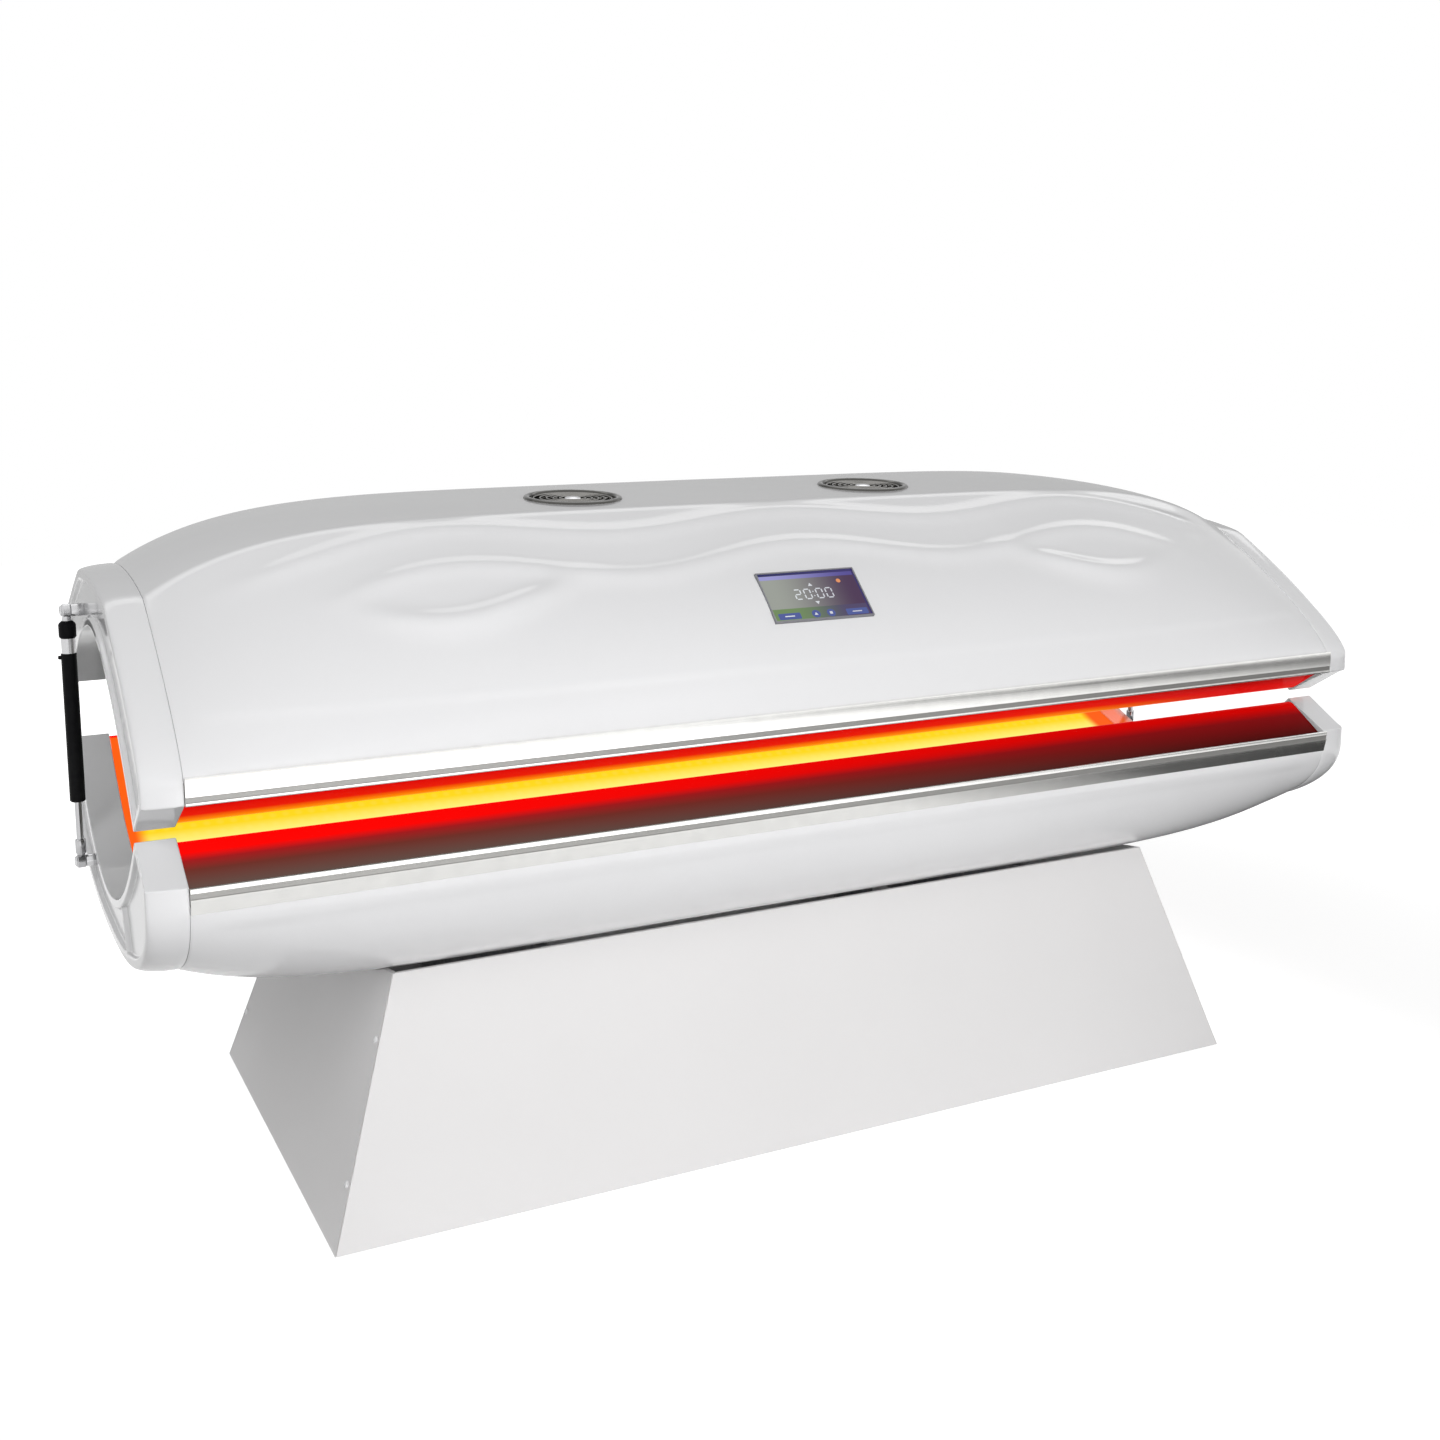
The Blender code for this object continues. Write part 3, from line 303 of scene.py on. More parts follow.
# %% Rubbed edges
rubbed_edges, given, result = start_group(
    "rubbed_edges", [("From", NUMBER, 0.52), ("To", NUMBER, 0.60), ("Break Up", NUMBER, 60.0)], ["Edge"]
)
spot = add_node(rubbed_edges, "TexCoord").outputs["Object"]
sharp = add_node(rubbed_edges, "NewGeometry").outputs["Pointiness"]
edge = spread(rubbed_edges, sharp, given["From"], given["To"])
patches = add_node(rubbed_edges, "TexNoise", {"Vector": spot, "Scale": given["Break Up"]}).outputs[0]
rubbed_edges.links.new(calculate(rubbed_edges, "MULTIPLY", edge, patches), result["Edge"])
print("group:", rubbed_edges.name)

# %% [markdown]
# ## Plastic and paint
#
# The shells are gloss white mouldings, the pedestal is a satin white panel, and small parts are black. All
# of them share one recipe: two close shades clouded together, a roughness that wavers between two values,
# and a very shallow bump. Only the numbers change from one to the next.


# %% Finish helpers
def place_group(tree, group, values):
    made = tree.nodes.new("ShaderNodeGroup")
    made.node_tree = group
    for key, value in values.items():
        made.inputs[key].default_value = value
    return made.outputs


def start_finish(name, **plain):
    made = bpy.data.materials.new(name)
    made.use_nodes = True
    shader = made.node_tree.nodes["Principled BSDF"]
    for key, value in plain.items():
        shader.inputs[key.replace("_", " ")].default_value = value
    return made, made.node_tree, shader.inputs


def shade(colour, factor):
    return tuple(min(1.0, part * factor) for part in colour)


def mix_colours(tree, share, one, two):
    made = add_node(tree, "Mix", {"Factor": share}, data_type="RGBA")
    for socket, value in ((made.inputs[6], one), (made.inputs[7], two)):
        if isinstance(value, bpy.types.NodeSocket):
            tree.links.new(value, socket)
        else:
            socket.default_value = (*value, 1.0)
    return made.outputs[2]


print("finish helpers ready")

# %% Recipe for a moulding
CLOUD_RANGE = (0.3, 0.7)
PAINT_WEAR, PAINT_BUMP = 90.0, 0.001


def moulded(name, colour, rough, fine, broad, bump, cloud=0.02, worn=None, **plain):
    """A plastic or paint finish. rough is the range of roughness, fine and broad are the grain's scales,
    cloud says how far the two shades differ, and worn is the colour of rubbed edges."""
    made, tree, inputs = start_finish(name, **plain)
    grain = place_group(tree, moulding_grain, {"Fine Scale": fine, "Broad Scale": broad})
    base = mix_colours(tree, grain["Broad"], shade(colour, 1 - cloud), shade(colour, 1 + cloud))
    if worn:
        edge = place_group(tree, rubbed_edges, {"Break Up": PAINT_WEAR})["Edge"]
        base = mix_colours(tree, edge, base, worn)
    tree.links.new(base, inputs["Base Color"])
    tree.links.new(spread(tree, grain["Broad"], *CLOUD_RANGE, *rough), inputs["Roughness"])
    height = {"Height": grain["Fine"], "Strength": bump, "Distance": PAINT_BUMP}
    tree.links.new(add_node(tree, "Bump", height).outputs[0], inputs["Normal"])
    return made


print("moulding recipe ready")

# %% Eight moulded finishes
WHITE, PANEL, BOARD, GREY = (0.80, 0.80, 0.81), (0.76, 0.75, 0.75), (0.80, 0.80, 0.75), (0.22, 0.22, 0.24)
SATIN, ENAMEL, RUBBER = (0.016, 0.016, 0.017), (0.004, 0.004, 0.005), (0.022, 0.022, 0.022)
STEEL_PAINT, WORN_SATIN, WORN_ENAMEL = (0.09, 0.09, 0.10), (0.06, 0.06, 0.06), (0.02, 0.02, 0.02)
BARE_STEEL = (0.30, 0.30, 0.31)
gloss_white = moulded("gloss_white", WHITE, (0.10, 0.18), fine=260, broad=2.5, bump=0.02, Coat_Weight=0.3)
panel_white = moulded("panel_white", PANEL, (0.36, 0.46), fine=700, broad=3.0, bump=0.10)
board_white = moulded("board_white", BOARD, (0.40, 0.55), fine=900, broad=20.0, bump=0.06)
frame_grey = moulded("frame_grey", GREY, (0.30, 0.42), fine=900, broad=30.0, bump=0.06)
foot_rubber = moulded("foot_rubber", RUBBER, (0.70, 0.85), fine=1200, broad=40.0, bump=0.25, cloud=0.2)
satin_grain = {"fine": 900, "broad": 30.0, "bump": 0.10, "cloud": 0.15}
enamel_grain = {"fine": 300, "broad": 18.0, "bump": 0.03, "cloud": 0.15}
paint_grain = {"fine": 800, "broad": 12.0, "bump": 0.12, "cloud": 0.08}
black_satin = moulded("black_satin", SATIN, (0.32, 0.46), **satin_grain, worn=WORN_SATIN)
black_enamel = moulded(
    "black_enamel_gloss", ENAMEL, (0.34, 0.46), **enamel_grain, worn=WORN_ENAMEL, Specular_IOR_Level=0.05
)
dark_paint = moulded("dark_paint", STEEL_PAINT, (0.42, 0.58), **paint_grain, worn=BARE_STEEL)
print("eight moulded and painted finishes")

# %% [markdown]
# ## Metals
#
# The trims are satin polished aluminium, drawn along the bed, so their lines run along X. The gas springs'
# rods, the vent rings and the studs are brighter. A metal takes nearly all of its look from what it
# reflects, so the recipe only moves its roughness and tone a little along the drawn lines.

# %% Recipe for a metal
LINE_SHADES, LINE_RANGE, LINE_WAVER = (0.93, 1.05), (0.7, 1.3), 4.0
METAL_WEAR, METAL_BUMP = 40.0, 0.0005


def metal(name, colour, rough, stretch, bump, rubbed=0.0):
    """A metal finish. stretch is the scale of its lines along X, Y and Z, and rubbed brightens its edges."""
    made, tree, inputs = start_finish(name, Metallic=1.0)
    lines = place_group(tree, drawn_lines, {"Stretch": stretch, "Waver": LINE_WAVER})
    base = mix_colours(tree, lines["Line"], *(shade(colour, factor) for factor in LINE_SHADES))
    if rubbed:
        edge = place_group(tree, rubbed_edges, {"Break Up": METAL_WEAR})["Edge"]
        base = mix_colours(tree, edge, base, shade(colour, 1 + rubbed))
    tree.links.new(base, inputs["Base Color"])
    both = calculate(tree, "ADD", lines["Line"], lines["Cloud"])
    tree.links.new(spread(tree, both, *LINE_RANGE, *rough), inputs["Roughness"])
    height = {"Height": lines["Line"], "Strength": bump, "Distance": METAL_BUMP}
    tree.links.new(add_node(tree, "Bump", height).outputs[0], inputs["Normal"])
    return made


print("metal recipe ready")

# %% Eight metals
ALONG_X, ALONG_Z, ACROSS_X = (3.0, 900.0, 900.0), (600.0, 600.0, 8.0), (900.0, 40.0, 40.0)
EVEN, EVEN_FINE = (40.0, 40.0, 40.0), (60.0, 60.0, 60.0)
satin_trim = metal("satin_trim", (0.86, 0.855, 0.835), (0.10, 0.17), ALONG_X, bump=0.05, rubbed=0.15)
mill_aluminium = metal("mill_aluminium", (0.60, 0.60, 0.61), (0.32, 0.46), ALONG_X, bump=0.10, rubbed=0.2)
chrome_plate = metal("chrome_plate", (0.78, 0.78, 0.80), (0.04, 0.10), EVEN, bump=0.01)
chrome_rod = metal("chrome_rod", (0.50, 0.50, 0.51), (0.06, 0.12), ALONG_Z, bump=0.02)
turned_steel = metal("turned_steel", (0.62, 0.62, 0.63), (0.18, 0.30), ACROSS_X, bump=0.05, rubbed=0.2)
# The grooves' grey metal paints the shade and the darker reflection in them.
groove_shade_grey = metal("groove_shade_grey", (0.30, 0.296, 0.285), (0.28, 0.40), ALONG_X, bump=0.05)
# These two dark chromes paint the dark reflections of a studio into the colour of the vents' rim and wires.
dark_reflection_chrome = metal("dark_reflection_chrome", (0.10, 0.098, 0.093), (0.06, 0.14), EVEN_FINE, bump=0.02)
dark_reflection_wire = metal("dark_reflection_wire", (0.20, 0.195, 0.185), (0.12, 0.24), EVEN_FINE, bump=0.02)
print("eight metals")

# %% [markdown]
# ## Lit acrylic
#
# Inside each half, a bent sheet of clear acrylic covers rows of small red lamps. In the photograph the
# inside of the tunnel is so bright that it turns yellow, and the sloping lips at the gap fade from bright
# red to a dark brown red at the lower trim. Real lamps behind a clear sheet would render slowly and noisily,
# so the sheet itself glows: its colour depends on the place across the bed, and a group draws the lamp rows.
# The glow also paints how that light falls: yellow inside the tunnel, orange red near its ends, and on the
# lips a fade to painted shade towards the trim, brighter towards the left than at the right end.

# %% Lamp rows
CELL_MIDDLE, DOT_CORE = 0.5, 0.08
lamp_rows, given, result = start_group(
    "lamp_rows", [("Pitch", NUMBER, 0.02), ("Dot", NUMBER, 0.35)], ["Dot"]
)
parts = add_node(lamp_rows, "SeparateXYZ", {0: add_node(lamp_rows, "TexCoord").outputs["Object"]}).outputs
squares = []
for axis in ("X", "Y"):
    place = calculate(lamp_rows, "FRACT", calculate(lamp_rows, "DIVIDE", parts[axis], given["Pitch"]))
    squares.append(calculate(lamp_rows, "POWER", calculate(lamp_rows, "SUBTRACT", place, CELL_MIDDLE), 2.0))
away = calculate(lamp_rows, "SQRT", calculate(lamp_rows, "ADD", *squares))
lamp_rows.links.new(spread(lamp_rows, away, given["Dot"], DOT_CORE), result["Dot"])
print("group:", lamp_rows.name)


# %% Colour ramps
def colour_steps(tree, value, steps):
    """A colour ramp through (place, colour) pairs."""
    made = add_node(tree, "ValToRGB", {"Fac": value})
    ramp = made.color_ramp
    while len(ramp.elements) < len(steps):
        ramp.elements.new(1.0)
    for element, (place, colour) in zip(ramp.elements, steps):
        element.position = place
        element.color = (*colour, 1.0)
    return made.outputs["Color"]


print("ramp helper ready")

# %% Recipe for lit acrylic
BED_Y = (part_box("base_front_trim")[0].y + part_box("base_rear_trim")[1].y) / 2
LIP_END, LIP_FADE, TRIM_IN = 0.330, 0.006, 0.402
LAMP_PITCH, LAMP_DOT, LAMP_SHARE, LAMP_COLOUR = 0.020, 0.40, 0.05, (1.0, 1.0, 0.45)
SHEET_SHADES = (0.018, 0.003, 0.002), (0.028, 0.004, 0.003)
SHEET_GRAIN = {"Fine Scale": 60.0, "Broad Scale": 5.0}
TUNNEL_END, END_FADE, END_SHIFT = (1.0, 0.12, 0.008), (0.881, 0.905), 0.013
PALE, YELLOW, AMBER = (1.0, 0.90, 0.21), (1.0, 0.70, 0.015), (1.0, 0.55, 0.01)
TUNNEL_STEPS = [(0.0, PALE), (0.37, PALE), (0.46, YELLOW), (1.0, AMBER)]


def lit_acrylic(name, left_lip, right_lip, change):
    """The lips have a ramp from tunnel to trim for each end, which paints their light fading to shade
    towards the trim, and change says where along X they mix.
    """
    plain = {"Roughness": 0.12, "Emission_Strength": 1.0, "Specular_IOR_Level": 0.005}
    made, tree, inputs = start_finish(name, **plain)
    parts = add_node(tree, "SeparateXYZ", {0: add_node(tree, "TexCoord").outputs["Object"]}).outputs
    across = calculate(tree, "ABSOLUTE", calculate(tree, "SUBTRACT", parts["Y"], BED_Y))
    along = calculate(tree, "ABSOLUTE", calculate(tree, "ADD", parts["X"], END_SHIFT))
    rows = place_group(tree, lamp_rows, {"Pitch": LAMP_PITCH, "Dot": LAMP_DOT})
    glow = colour_steps(tree, spread(tree, across, 0.0, LIP_END, smooth=False), TUNNEL_STEPS)
    dots = calculate(tree, "MULTIPLY", rows["Dot"], LAMP_SHARE)
    lamps = mix_colours(tree, dots, glow, LAMP_COLOUR)
    inside = mix_colours(tree, spread(tree, along, *END_FADE), lamps, TUNNEL_END)
    to_trim = spread(tree, across, LIP_END, TRIM_IN, smooth=False)
    lips = [colour_steps(tree, to_trim, steps) for steps in (left_lip, right_lip)]
    lip = mix_colours(tree, spread(tree, parts["X"], *change), *lips)
    on_lip = spread(tree, across, LIP_END - LIP_FADE, LIP_END)
    tree.links.new(mix_colours(tree, on_lip, inside, lip), inputs["Emission Color"])
    grain = place_group(tree, moulding_grain, SHEET_GRAIN)
    tree.links.new(mix_colours(tree, grain["Broad"], *SHEET_SHADES), inputs["Base Color"])
    return made


print("bed middle at y", round(BED_Y, 5))

# %% Two lit finishes
GOLD, ORANGE, RED, WARM_RED = (1.0, 0.58, 0.005), (1.0, 0.24, 0.0), (1.0, 0.0, 0.0), (0.82, 0.01, 0.0)
SHADED_BROWN_RED, BROWN, DARK_RED = (0.14, 0.03, 0.022), (0.105, 0.075, 0.062), (0.045, 0.004, 0.004)
DIM_RED, DEEP_RED = (0.66, 0.0, 0.0), (0.45, 0.0, 0.0)
DULL_RED, SHADED_RED = (0.34, 0.01, 0.012), (0.20, 0.003, 0.005)
# Each ramp paints a lip's light and shade, bright near the tunnel and dark at the trim.
upper_left = [(0.0, GOLD), (0.22, ORANGE), (0.44, WARM_RED), (0.8, (0.72, 0.0, 0.0)), (1.0, DEEP_RED)]
upper_right = [(0.0, (0.70, 0.01, 0.004)), (0.45, DIM_RED), (1.0, (0.18, 0.0, 0.0))]
lower_left = [(0.0, RED), (0.32, RED), (0.47, DULL_RED), (0.66, SHADED_BROWN_RED), (1.0, BROWN)]
lower_right = [(0.0, DIM_RED), (0.22, (0.60, 0.0, 0.0)), (0.46, SHADED_RED), (1.0, DARK_RED)]
UPPER_CHANGE, LOWER_CHANGE = (0.35, 0.75), (-0.8, 0.8)
upper_lit = lit_acrylic("upper_lit_acrylic", upper_left, upper_right, UPPER_CHANGE)
lower_lit = lit_acrylic("lower_lit_acrylic", lower_left, lower_right, LOWER_CHANGE)
print("lit finishes:", upper_lit.name, lower_lit.name)

# %% [markdown]
# ## Finishes for the plain solids
#
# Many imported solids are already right, such as the pedestal panels and the parts hidden inside. They keep
# their shape and only take a finish here. A weld and a small bevel modifier ease their corners, because a
# real edge is never perfectly sharp and its thin highlight is what the eye looks for.

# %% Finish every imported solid
finish_of_slot = {
    "white_gloss": gloss_white,
    "white_panel": panel_white,
    "dark_steel": dark_paint,
    "bright_steel": turned_steel,
    "chrome": chrome_plate,
    "satin_aluminium": satin_trim,
    "bare_aluminium": mill_aluminium,
    "red_acrylic": lower_lit,
    "white_board": board_white,
    "black_rubber": foot_rubber,
    "black_plastic": black_satin,
    "black_enamel": black_enamel,
    "dark_glass": black_satin,
}
for solid in nodes.values():
    slot_name = solid.material_slots[0].material.name.split(".")[0]
    solid.material_slots[0].material = finish_of_slot[slot_name]
nodes["screen_bezel"].material_slots[0].material = frame_grey
print(len(nodes), "packed solids have a finish")

# %% Ease their edges
PANEL_EASE, INLET_EASE, SMALL_EASE = 0.0015, 0.0006, 0.0005
EASE_STEPS, EASE_ANGLE, WELD_REACH = 3, math.radians(40), 0.00002


def ease_edges(target, width):
    weld = target.modifiers.new("weld", "WELD")
    weld.merge_threshold = WELD_REACH
    bevel = target.modifiers.new("eased_edges", "BEVEL")
    bevel.width, bevel.segments = width, EASE_STEPS
    bevel.limit_method, bevel.angle_limit = "ANGLE", EASE_ANGLE


for name in ("pedestal_front_panel", "pedestal_rear_panel"):
    ease_edges(nodes[name], PANEL_EASE)
ease_edges(nodes["power_inlet"], INLET_EASE)
for name in ("power_rocker", "screen_bezel", "floor_rail_front", "floor_rail_rear"):
    ease_edges(nodes[name], SMALL_EASE)
print("seven solids have eased edges")

# %% [markdown]
# ## Shapes of the shells
#
# The hood and the belly were drawn in the part from a few formulas, and the finer skins below repeat them
# with the same sizes, so that they land exactly on the solids. Heights are in metres above the floor, and y
# is measured from the middle of the bed.

# %% Sizes of the bed
GAP = 0.0003
SHELL_HALF, CAP_WIDTH, CAP_INSET, CAP_BLEND, CAP_RIM, CAP_RECESS = 0.925, 0.050, 0.009, 0.080, 0.011, 0.006
HALF_WIDTH, SHELL_WALL, TRIM_OUT = 0.413, 0.004, 0.420
BELLY_EDGE, BELLY_DEPTH, BELLY_DEPTH_END = 0.519, 0.215, 0.155
BELLY_SWEEP, BELLY_POWER, BELLY_ROUND = 8, 2.2, 0.45
LOWER_TRIM_TOP, SHOULDER, TROUGH_DEPTH = 0.5438, 0.5853, 0.155
FRONT_TRIM_FOOT, REAR_TRIM_FOOT, FRONT_EDGE, REAR_EDGE = 0.6443, 0.7173, 0.6726, 0.7456
UPPER_LIP_DROP, CEILING_RISE, CEILING_POWER = 0.046, 0.1655, 1.8
HOOD_RISE, HOOD_RISE_END, HOOD_ARCH, HOOD_BLEND = 0.2874, 0.2084, 7, 4
PLATEAU_HALF, PLATEAU_TILT, PLATEAU_FALL, PLATEAU_FALL_END = 0.150, 0.050, 0.002, 0.012
SLOPE_ROUND, SLOPE_ROUND_END = 0.505, 0.735
print("shells", 2 * SHELL_HALF, "by", 2 * HALF_WIDTH, "m")


# %% Heights of the belly and the hood
def blend(one, two, share):
    return one + (two - one) * share


def eased(value, low, high):
    """0 below low, 1 above high, and a soft S between them."""
    share = min(1.0, max(0.0, (value - low) / (high - low)))
    return share * share * (3 - 2 * share)


def belly_height(x, y, inset=0.0):
    depth = blend(BELLY_DEPTH, BELLY_DEPTH_END, min(1.0, abs(x) / SHELL_HALF) ** BELLY_SWEEP)
    share = min(1.0, abs(y) / (HALF_WIDTH - inset))
    return BELLY_EDGE - (depth - inset) * (1 - share**BELLY_POWER) ** BELLY_ROUND


def hood_edge(y):
    return FRONT_EDGE if y < 0 else REAR_EDGE


def hood_height(x, y, inset=0.0):
    share = min(1.0, abs(x) / SHELL_HALF)
    top = FRONT_EDGE + blend(HOOD_RISE, HOOD_RISE_END, share**HOOD_ARCH) - inset
    fall = blend(PLATEAU_FALL, PLATEAU_FALL_END, share**HOOD_BLEND)
    flat = max(-PLATEAU_HALF, min(PLATEAU_HALF, y))
    crown = top + PLATEAU_TILT * flat - fall * (flat / PLATEAU_HALF) ** 2
    if flat == y:
        return crown
    power = blend(SLOPE_ROUND, SLOPE_ROUND_END, share**HOOD_BLEND)
    left = (HALF_WIDTH - inset - abs(y)) / (HALF_WIDTH - inset - PLATEAU_HALF)
    return blend(hood_edge(y), crown, max(0.0, left) ** power)


print("hood top", round(hood_height(0, 0), 4), "belly bottom", round(belly_height(0, 0), 4))


# %% Heights of the tunnel
def trough_height(y):
    return SHOULDER - TROUGH_DEPTH * (1 - (y / LIP_END) ** 2)


def ceiling_height(y):
    share = min(1.0, max(0.0, (y / LIP_END + 1) / 2))
    lip = blend(FRONT_TRIM_FOOT, REAR_TRIM_FOOT, share) - UPPER_LIP_DROP
    return lip + CEILING_RISE * (1 - (abs(y) / LIP_END) ** CEILING_POWER)


print("tunnel from", round(trough_height(0), 4), "to", round(ceiling_height(0), 4))

# %% [markdown]
# ## Making a piece
#
# Every new piece is drawn in the bed's own frame, turned into an object and set to ride on the body that
# carries it, and the imported solid it stands for is hidden. One function does all of that, so no piece can
# be left behind when the canopy swings.


# %% Adding a piece
def new_piece(name, bm, finishes, body, stands_for=(), place=None, sharp=35):
    """Adds a piece. With place, the mesh stays in its own frame and the object carries the matrix."""
    bmesh.ops.recalc_face_normals(bm, faces=bm.faces)
    to_bed = Matrix.Translation((0, BED_Y, 0))
    if place is None:
        bmesh.ops.transform(bm, matrix=to_bed, verts=bm.verts)
    mesh = bpy.data.meshes.new(name)
    bm.to_mesh(mesh)
    bm.free()
    for finish in finishes if isinstance(finishes, (list, tuple)) else [finishes]:
        mesh.materials.append(finish)
    mesh.shade_smooth()
    mesh.set_sharp_from_angle(angle=math.radians(sharp))
    piece = bpy.data.objects.new(name, mesh)
    if place is not None:
        piece.matrix_world = to_bed @ place
    scene.collection.objects.link(piece)
    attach(piece, body)
    if stands_for:
        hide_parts(*([stands_for] if isinstance(stands_for, str) else stands_for))
    return piece


print("piece helper ready")

# %% [markdown]
# ## The hood's pressed skin
#
# The canopy's cover is one vacuum formed sheet. Two long waves are pressed into each slope, with a short arc
# below each outer crest that closes a leaf shape, and a soft bend runs just above the trim. A bump map would
# fake the waves only in the shading, so they are drawn into a fine grid here: each point of the smooth hood
# is pushed out along its own normal by the height of the waves at that place. A wave is five numbers: the
# middle of its crest across the bed, how far it swings, its height, its width, and its reach along the bed.

# %% Waves of the hood
WAVE_LENGTH, WAVE_FADE = 0.54, (0.10, 0.06)
WAVES = ((0.190, 0.0155, 0.0048, 0.016, 0.82), (0.264, 0.0185, 0.0052, 0.0145, 0.70))
LEAF_FROM, LEAF_TO, LEAF_TOP, LEAF_SWING = 0.30, 0.72, 0.268, 0.056
LEAF_RISE, LEAF_WIDTH, LEAF_SKEW, LEAF_FADE = 0.0105, 0.0160, 1.35, (0.45, 0.60)
BEND_HEIGHT, BEND_DEPTH, BEND_SOFT = 0.066, 0.0022, 0.006
SEAM_DEPTH, SEAM_WIDTH, SEAM_GAP = 0.0009, 0.003, 0.00004
END_FLAT = (SHELL_HALF - 0.06, SHELL_HALF - 0.01)


def wave_relief(x, y, z):
    """How far the pressed pattern stands out from the smooth hood."""
    side = abs(y)
    relief = 0.0
    for middle, swing, rise, width, reach in WAVES:
        crest = middle - swing * math.cos(2 * math.pi * x / WAVE_LENGTH)
        fade = 1 - eased(abs(x), reach - WAVE_FADE[0], reach + WAVE_FADE[1])
        relief += rise * fade * math.exp(-(((side - crest) / width) ** 2))
    share = (abs(x) - LEAF_FROM) / (LEAF_TO - LEAF_FROM)
    if 0 < share < 1:
        crest = LEAF_TOP + LEAF_SWING * math.sin(math.pi * share**LEAF_SKEW)
        fade = eased(share, 0.0, LEAF_FADE[0]) * (1 - eased(share, LEAF_FADE[1], 1.0))
        relief += LEAF_RISE * fade * math.exp(-(((side - crest) / LEAF_WIDTH) ** 2))
    if side > PLATEAU_HALF:
        above = z - hood_edge(y)
        relief -= BEND_DEPTH * (1 - eased(above, BEND_HEIGHT - BEND_SOFT, BEND_HEIGHT + BEND_SOFT))
    return relief * (1 - eased(abs(x), *END_FLAT))


def seam_relief(x):
    return -SEAM_DEPTH * eased(abs(x), SHELL_HALF - SEAM_WIDTH, SHELL_HALF)


print("a wave stands", WAVES[0][2], "m proud")

# %% Points of the hood
CREASE_ROUND, CREASE_REACH, CREASE_SAMPLES = 0.010, 0.030, 4
FEEL, TINY = 0.004, 1e-5


def hood_soft(x, y):
    """The hood with its crease rounded over about two centimetres."""
    away = abs(abs(y) - PLATEAU_HALF)
    if away > CREASE_REACH:
        return hood_height(x, y)
    reach = CREASE_ROUND * (1 - eased(away, CREASE_ROUND, CREASE_REACH))
    steps = range(-CREASE_SAMPLES, CREASE_SAMPLES + 1)
    return sum(hood_height(x, y + reach * step / CREASE_SAMPLES) for step in steps) / len(steps)


def square_to(height, x, y, way):
    """The direction out of a skin, as (y, z). way is 1 if the skin faces up and -1 if it faces down."""
    step = min(FEEL, (HALF_WIDTH - abs(y)) / 2)
    if step < TINY:
        return Vector((math.copysign(1, y), 0))
    climb = (height(x, y + step) - height(x, y - step)) / (2 * step)
    return Vector((-way * climb, way)).normalized()


def hood_point(x, y):
    z = hood_soft(x, y)
    moved = Vector((y, z)) + square_to(hood_soft, x, y, 1) * (wave_relief(x, y, z) + seam_relief(x))
    return (moved.x, moved.y)


print("middle of the hood at", round(hood_point(0, 0)[1], 4))

# %% Places across and along the shells
SLOPE_CROWD, CREASE_LINES, CREASE_PARTS = 1.6, 8, 5
SEAM_SHARES = (0.4, 0.8, 1.2)


def hood_across(slope_steps, plateau_steps, half=HALF_WIDTH):
    """Places across the hood, closer together at its edges and over its two creases."""
    slope = half - PLATEAU_HALF
    reach = [half - slope * (i / slope_steps) ** SLOPE_CROWD for i in range(slope_steps + 1)]
    reach += [PLATEAU_HALF * i / plateau_steps for i in range(plateau_steps - 1, -1, -1)]
    crease = [i for i in range(-CREASE_LINES, CREASE_LINES + 1) if i]
    reach += [PLATEAU_HALF + CREASE_ROUND * i / CREASE_PARTS for i in crease]
    reach.sort(reverse=True)
    return [-y for y in reach] + reach[-2::-1]


def stations(count):
    """Places along X: even steps, with a few more close to each end for the seam."""
    last = SHELL_HALF - SEAM_GAP
    even = [last * (2 * i / count - 1) for i in range(count + 1)]
    near = [last - SEAM_WIDTH * share for share in SEAM_SHARES]
    return sorted(even + near + [-x for x in near])


print("grid helpers ready")


# %% Wall between two grids
def quads_between(bm, rows):
    for one, two in zip(rows, rows[1:]):
        for i in range(len(one) - 1):
            bm.faces.new((one[i], one[i + 1], two[i + 1], two[i]))


def walled_skin(bm, outer, inner):
    """A wall between two grids of points, one row for each station along the bed."""
    outer = [[bm.verts.new(point) for point in row] for row in outer]
    inner = [[bm.verts.new(point) for point in row] for row in inner]
    quads_between(bm, outer)
    quads_between(bm, inner)
    quads_between(bm, (outer[0], inner[0]))
    quads_between(bm, (outer[-1], inner[-1]))
    for end in (0, -1):
        quads_between(bm, ([row[end] for row in outer], [row[end] for row in inner]))


print("wall helpers ready")

# %% Hood skin
HOOD_STATIONS, HOOD_SLOPE_LINES, HOOD_TOP_LINES = 150, 72, 24
across = hood_across(HOOD_SLOPE_LINES, HOOD_TOP_LINES)
across_inside = hood_across(HOOD_SLOPE_LINES, HOOD_TOP_LINES, HALF_WIDTH - SHELL_WALL)
places = stations(HOOD_STATIONS)
bm = bmesh.new()
walled_skin(
    bm,
    [[(x, *hood_point(x, y)) for y in across] for x in places],
    [[(x, y, hood_height(x, y, SHELL_WALL)) for y in across_inside] for x in places],
)
hood = new_piece("hood_skin", bm, gloss_white, "canopy", "canopy_shell")
print("hood skin:", len(hood.data.polygons), "faces")

# %% [markdown]
# The two vents and the screen sit in holes of the hood. Leaving faces out of the grid would give the holes
# ragged edges, so each one is cut with a Boolean modifier, by a plate whose outline is drawn to size. The
# plate stands square to the skin at that place, and only the result of the cut is kept.


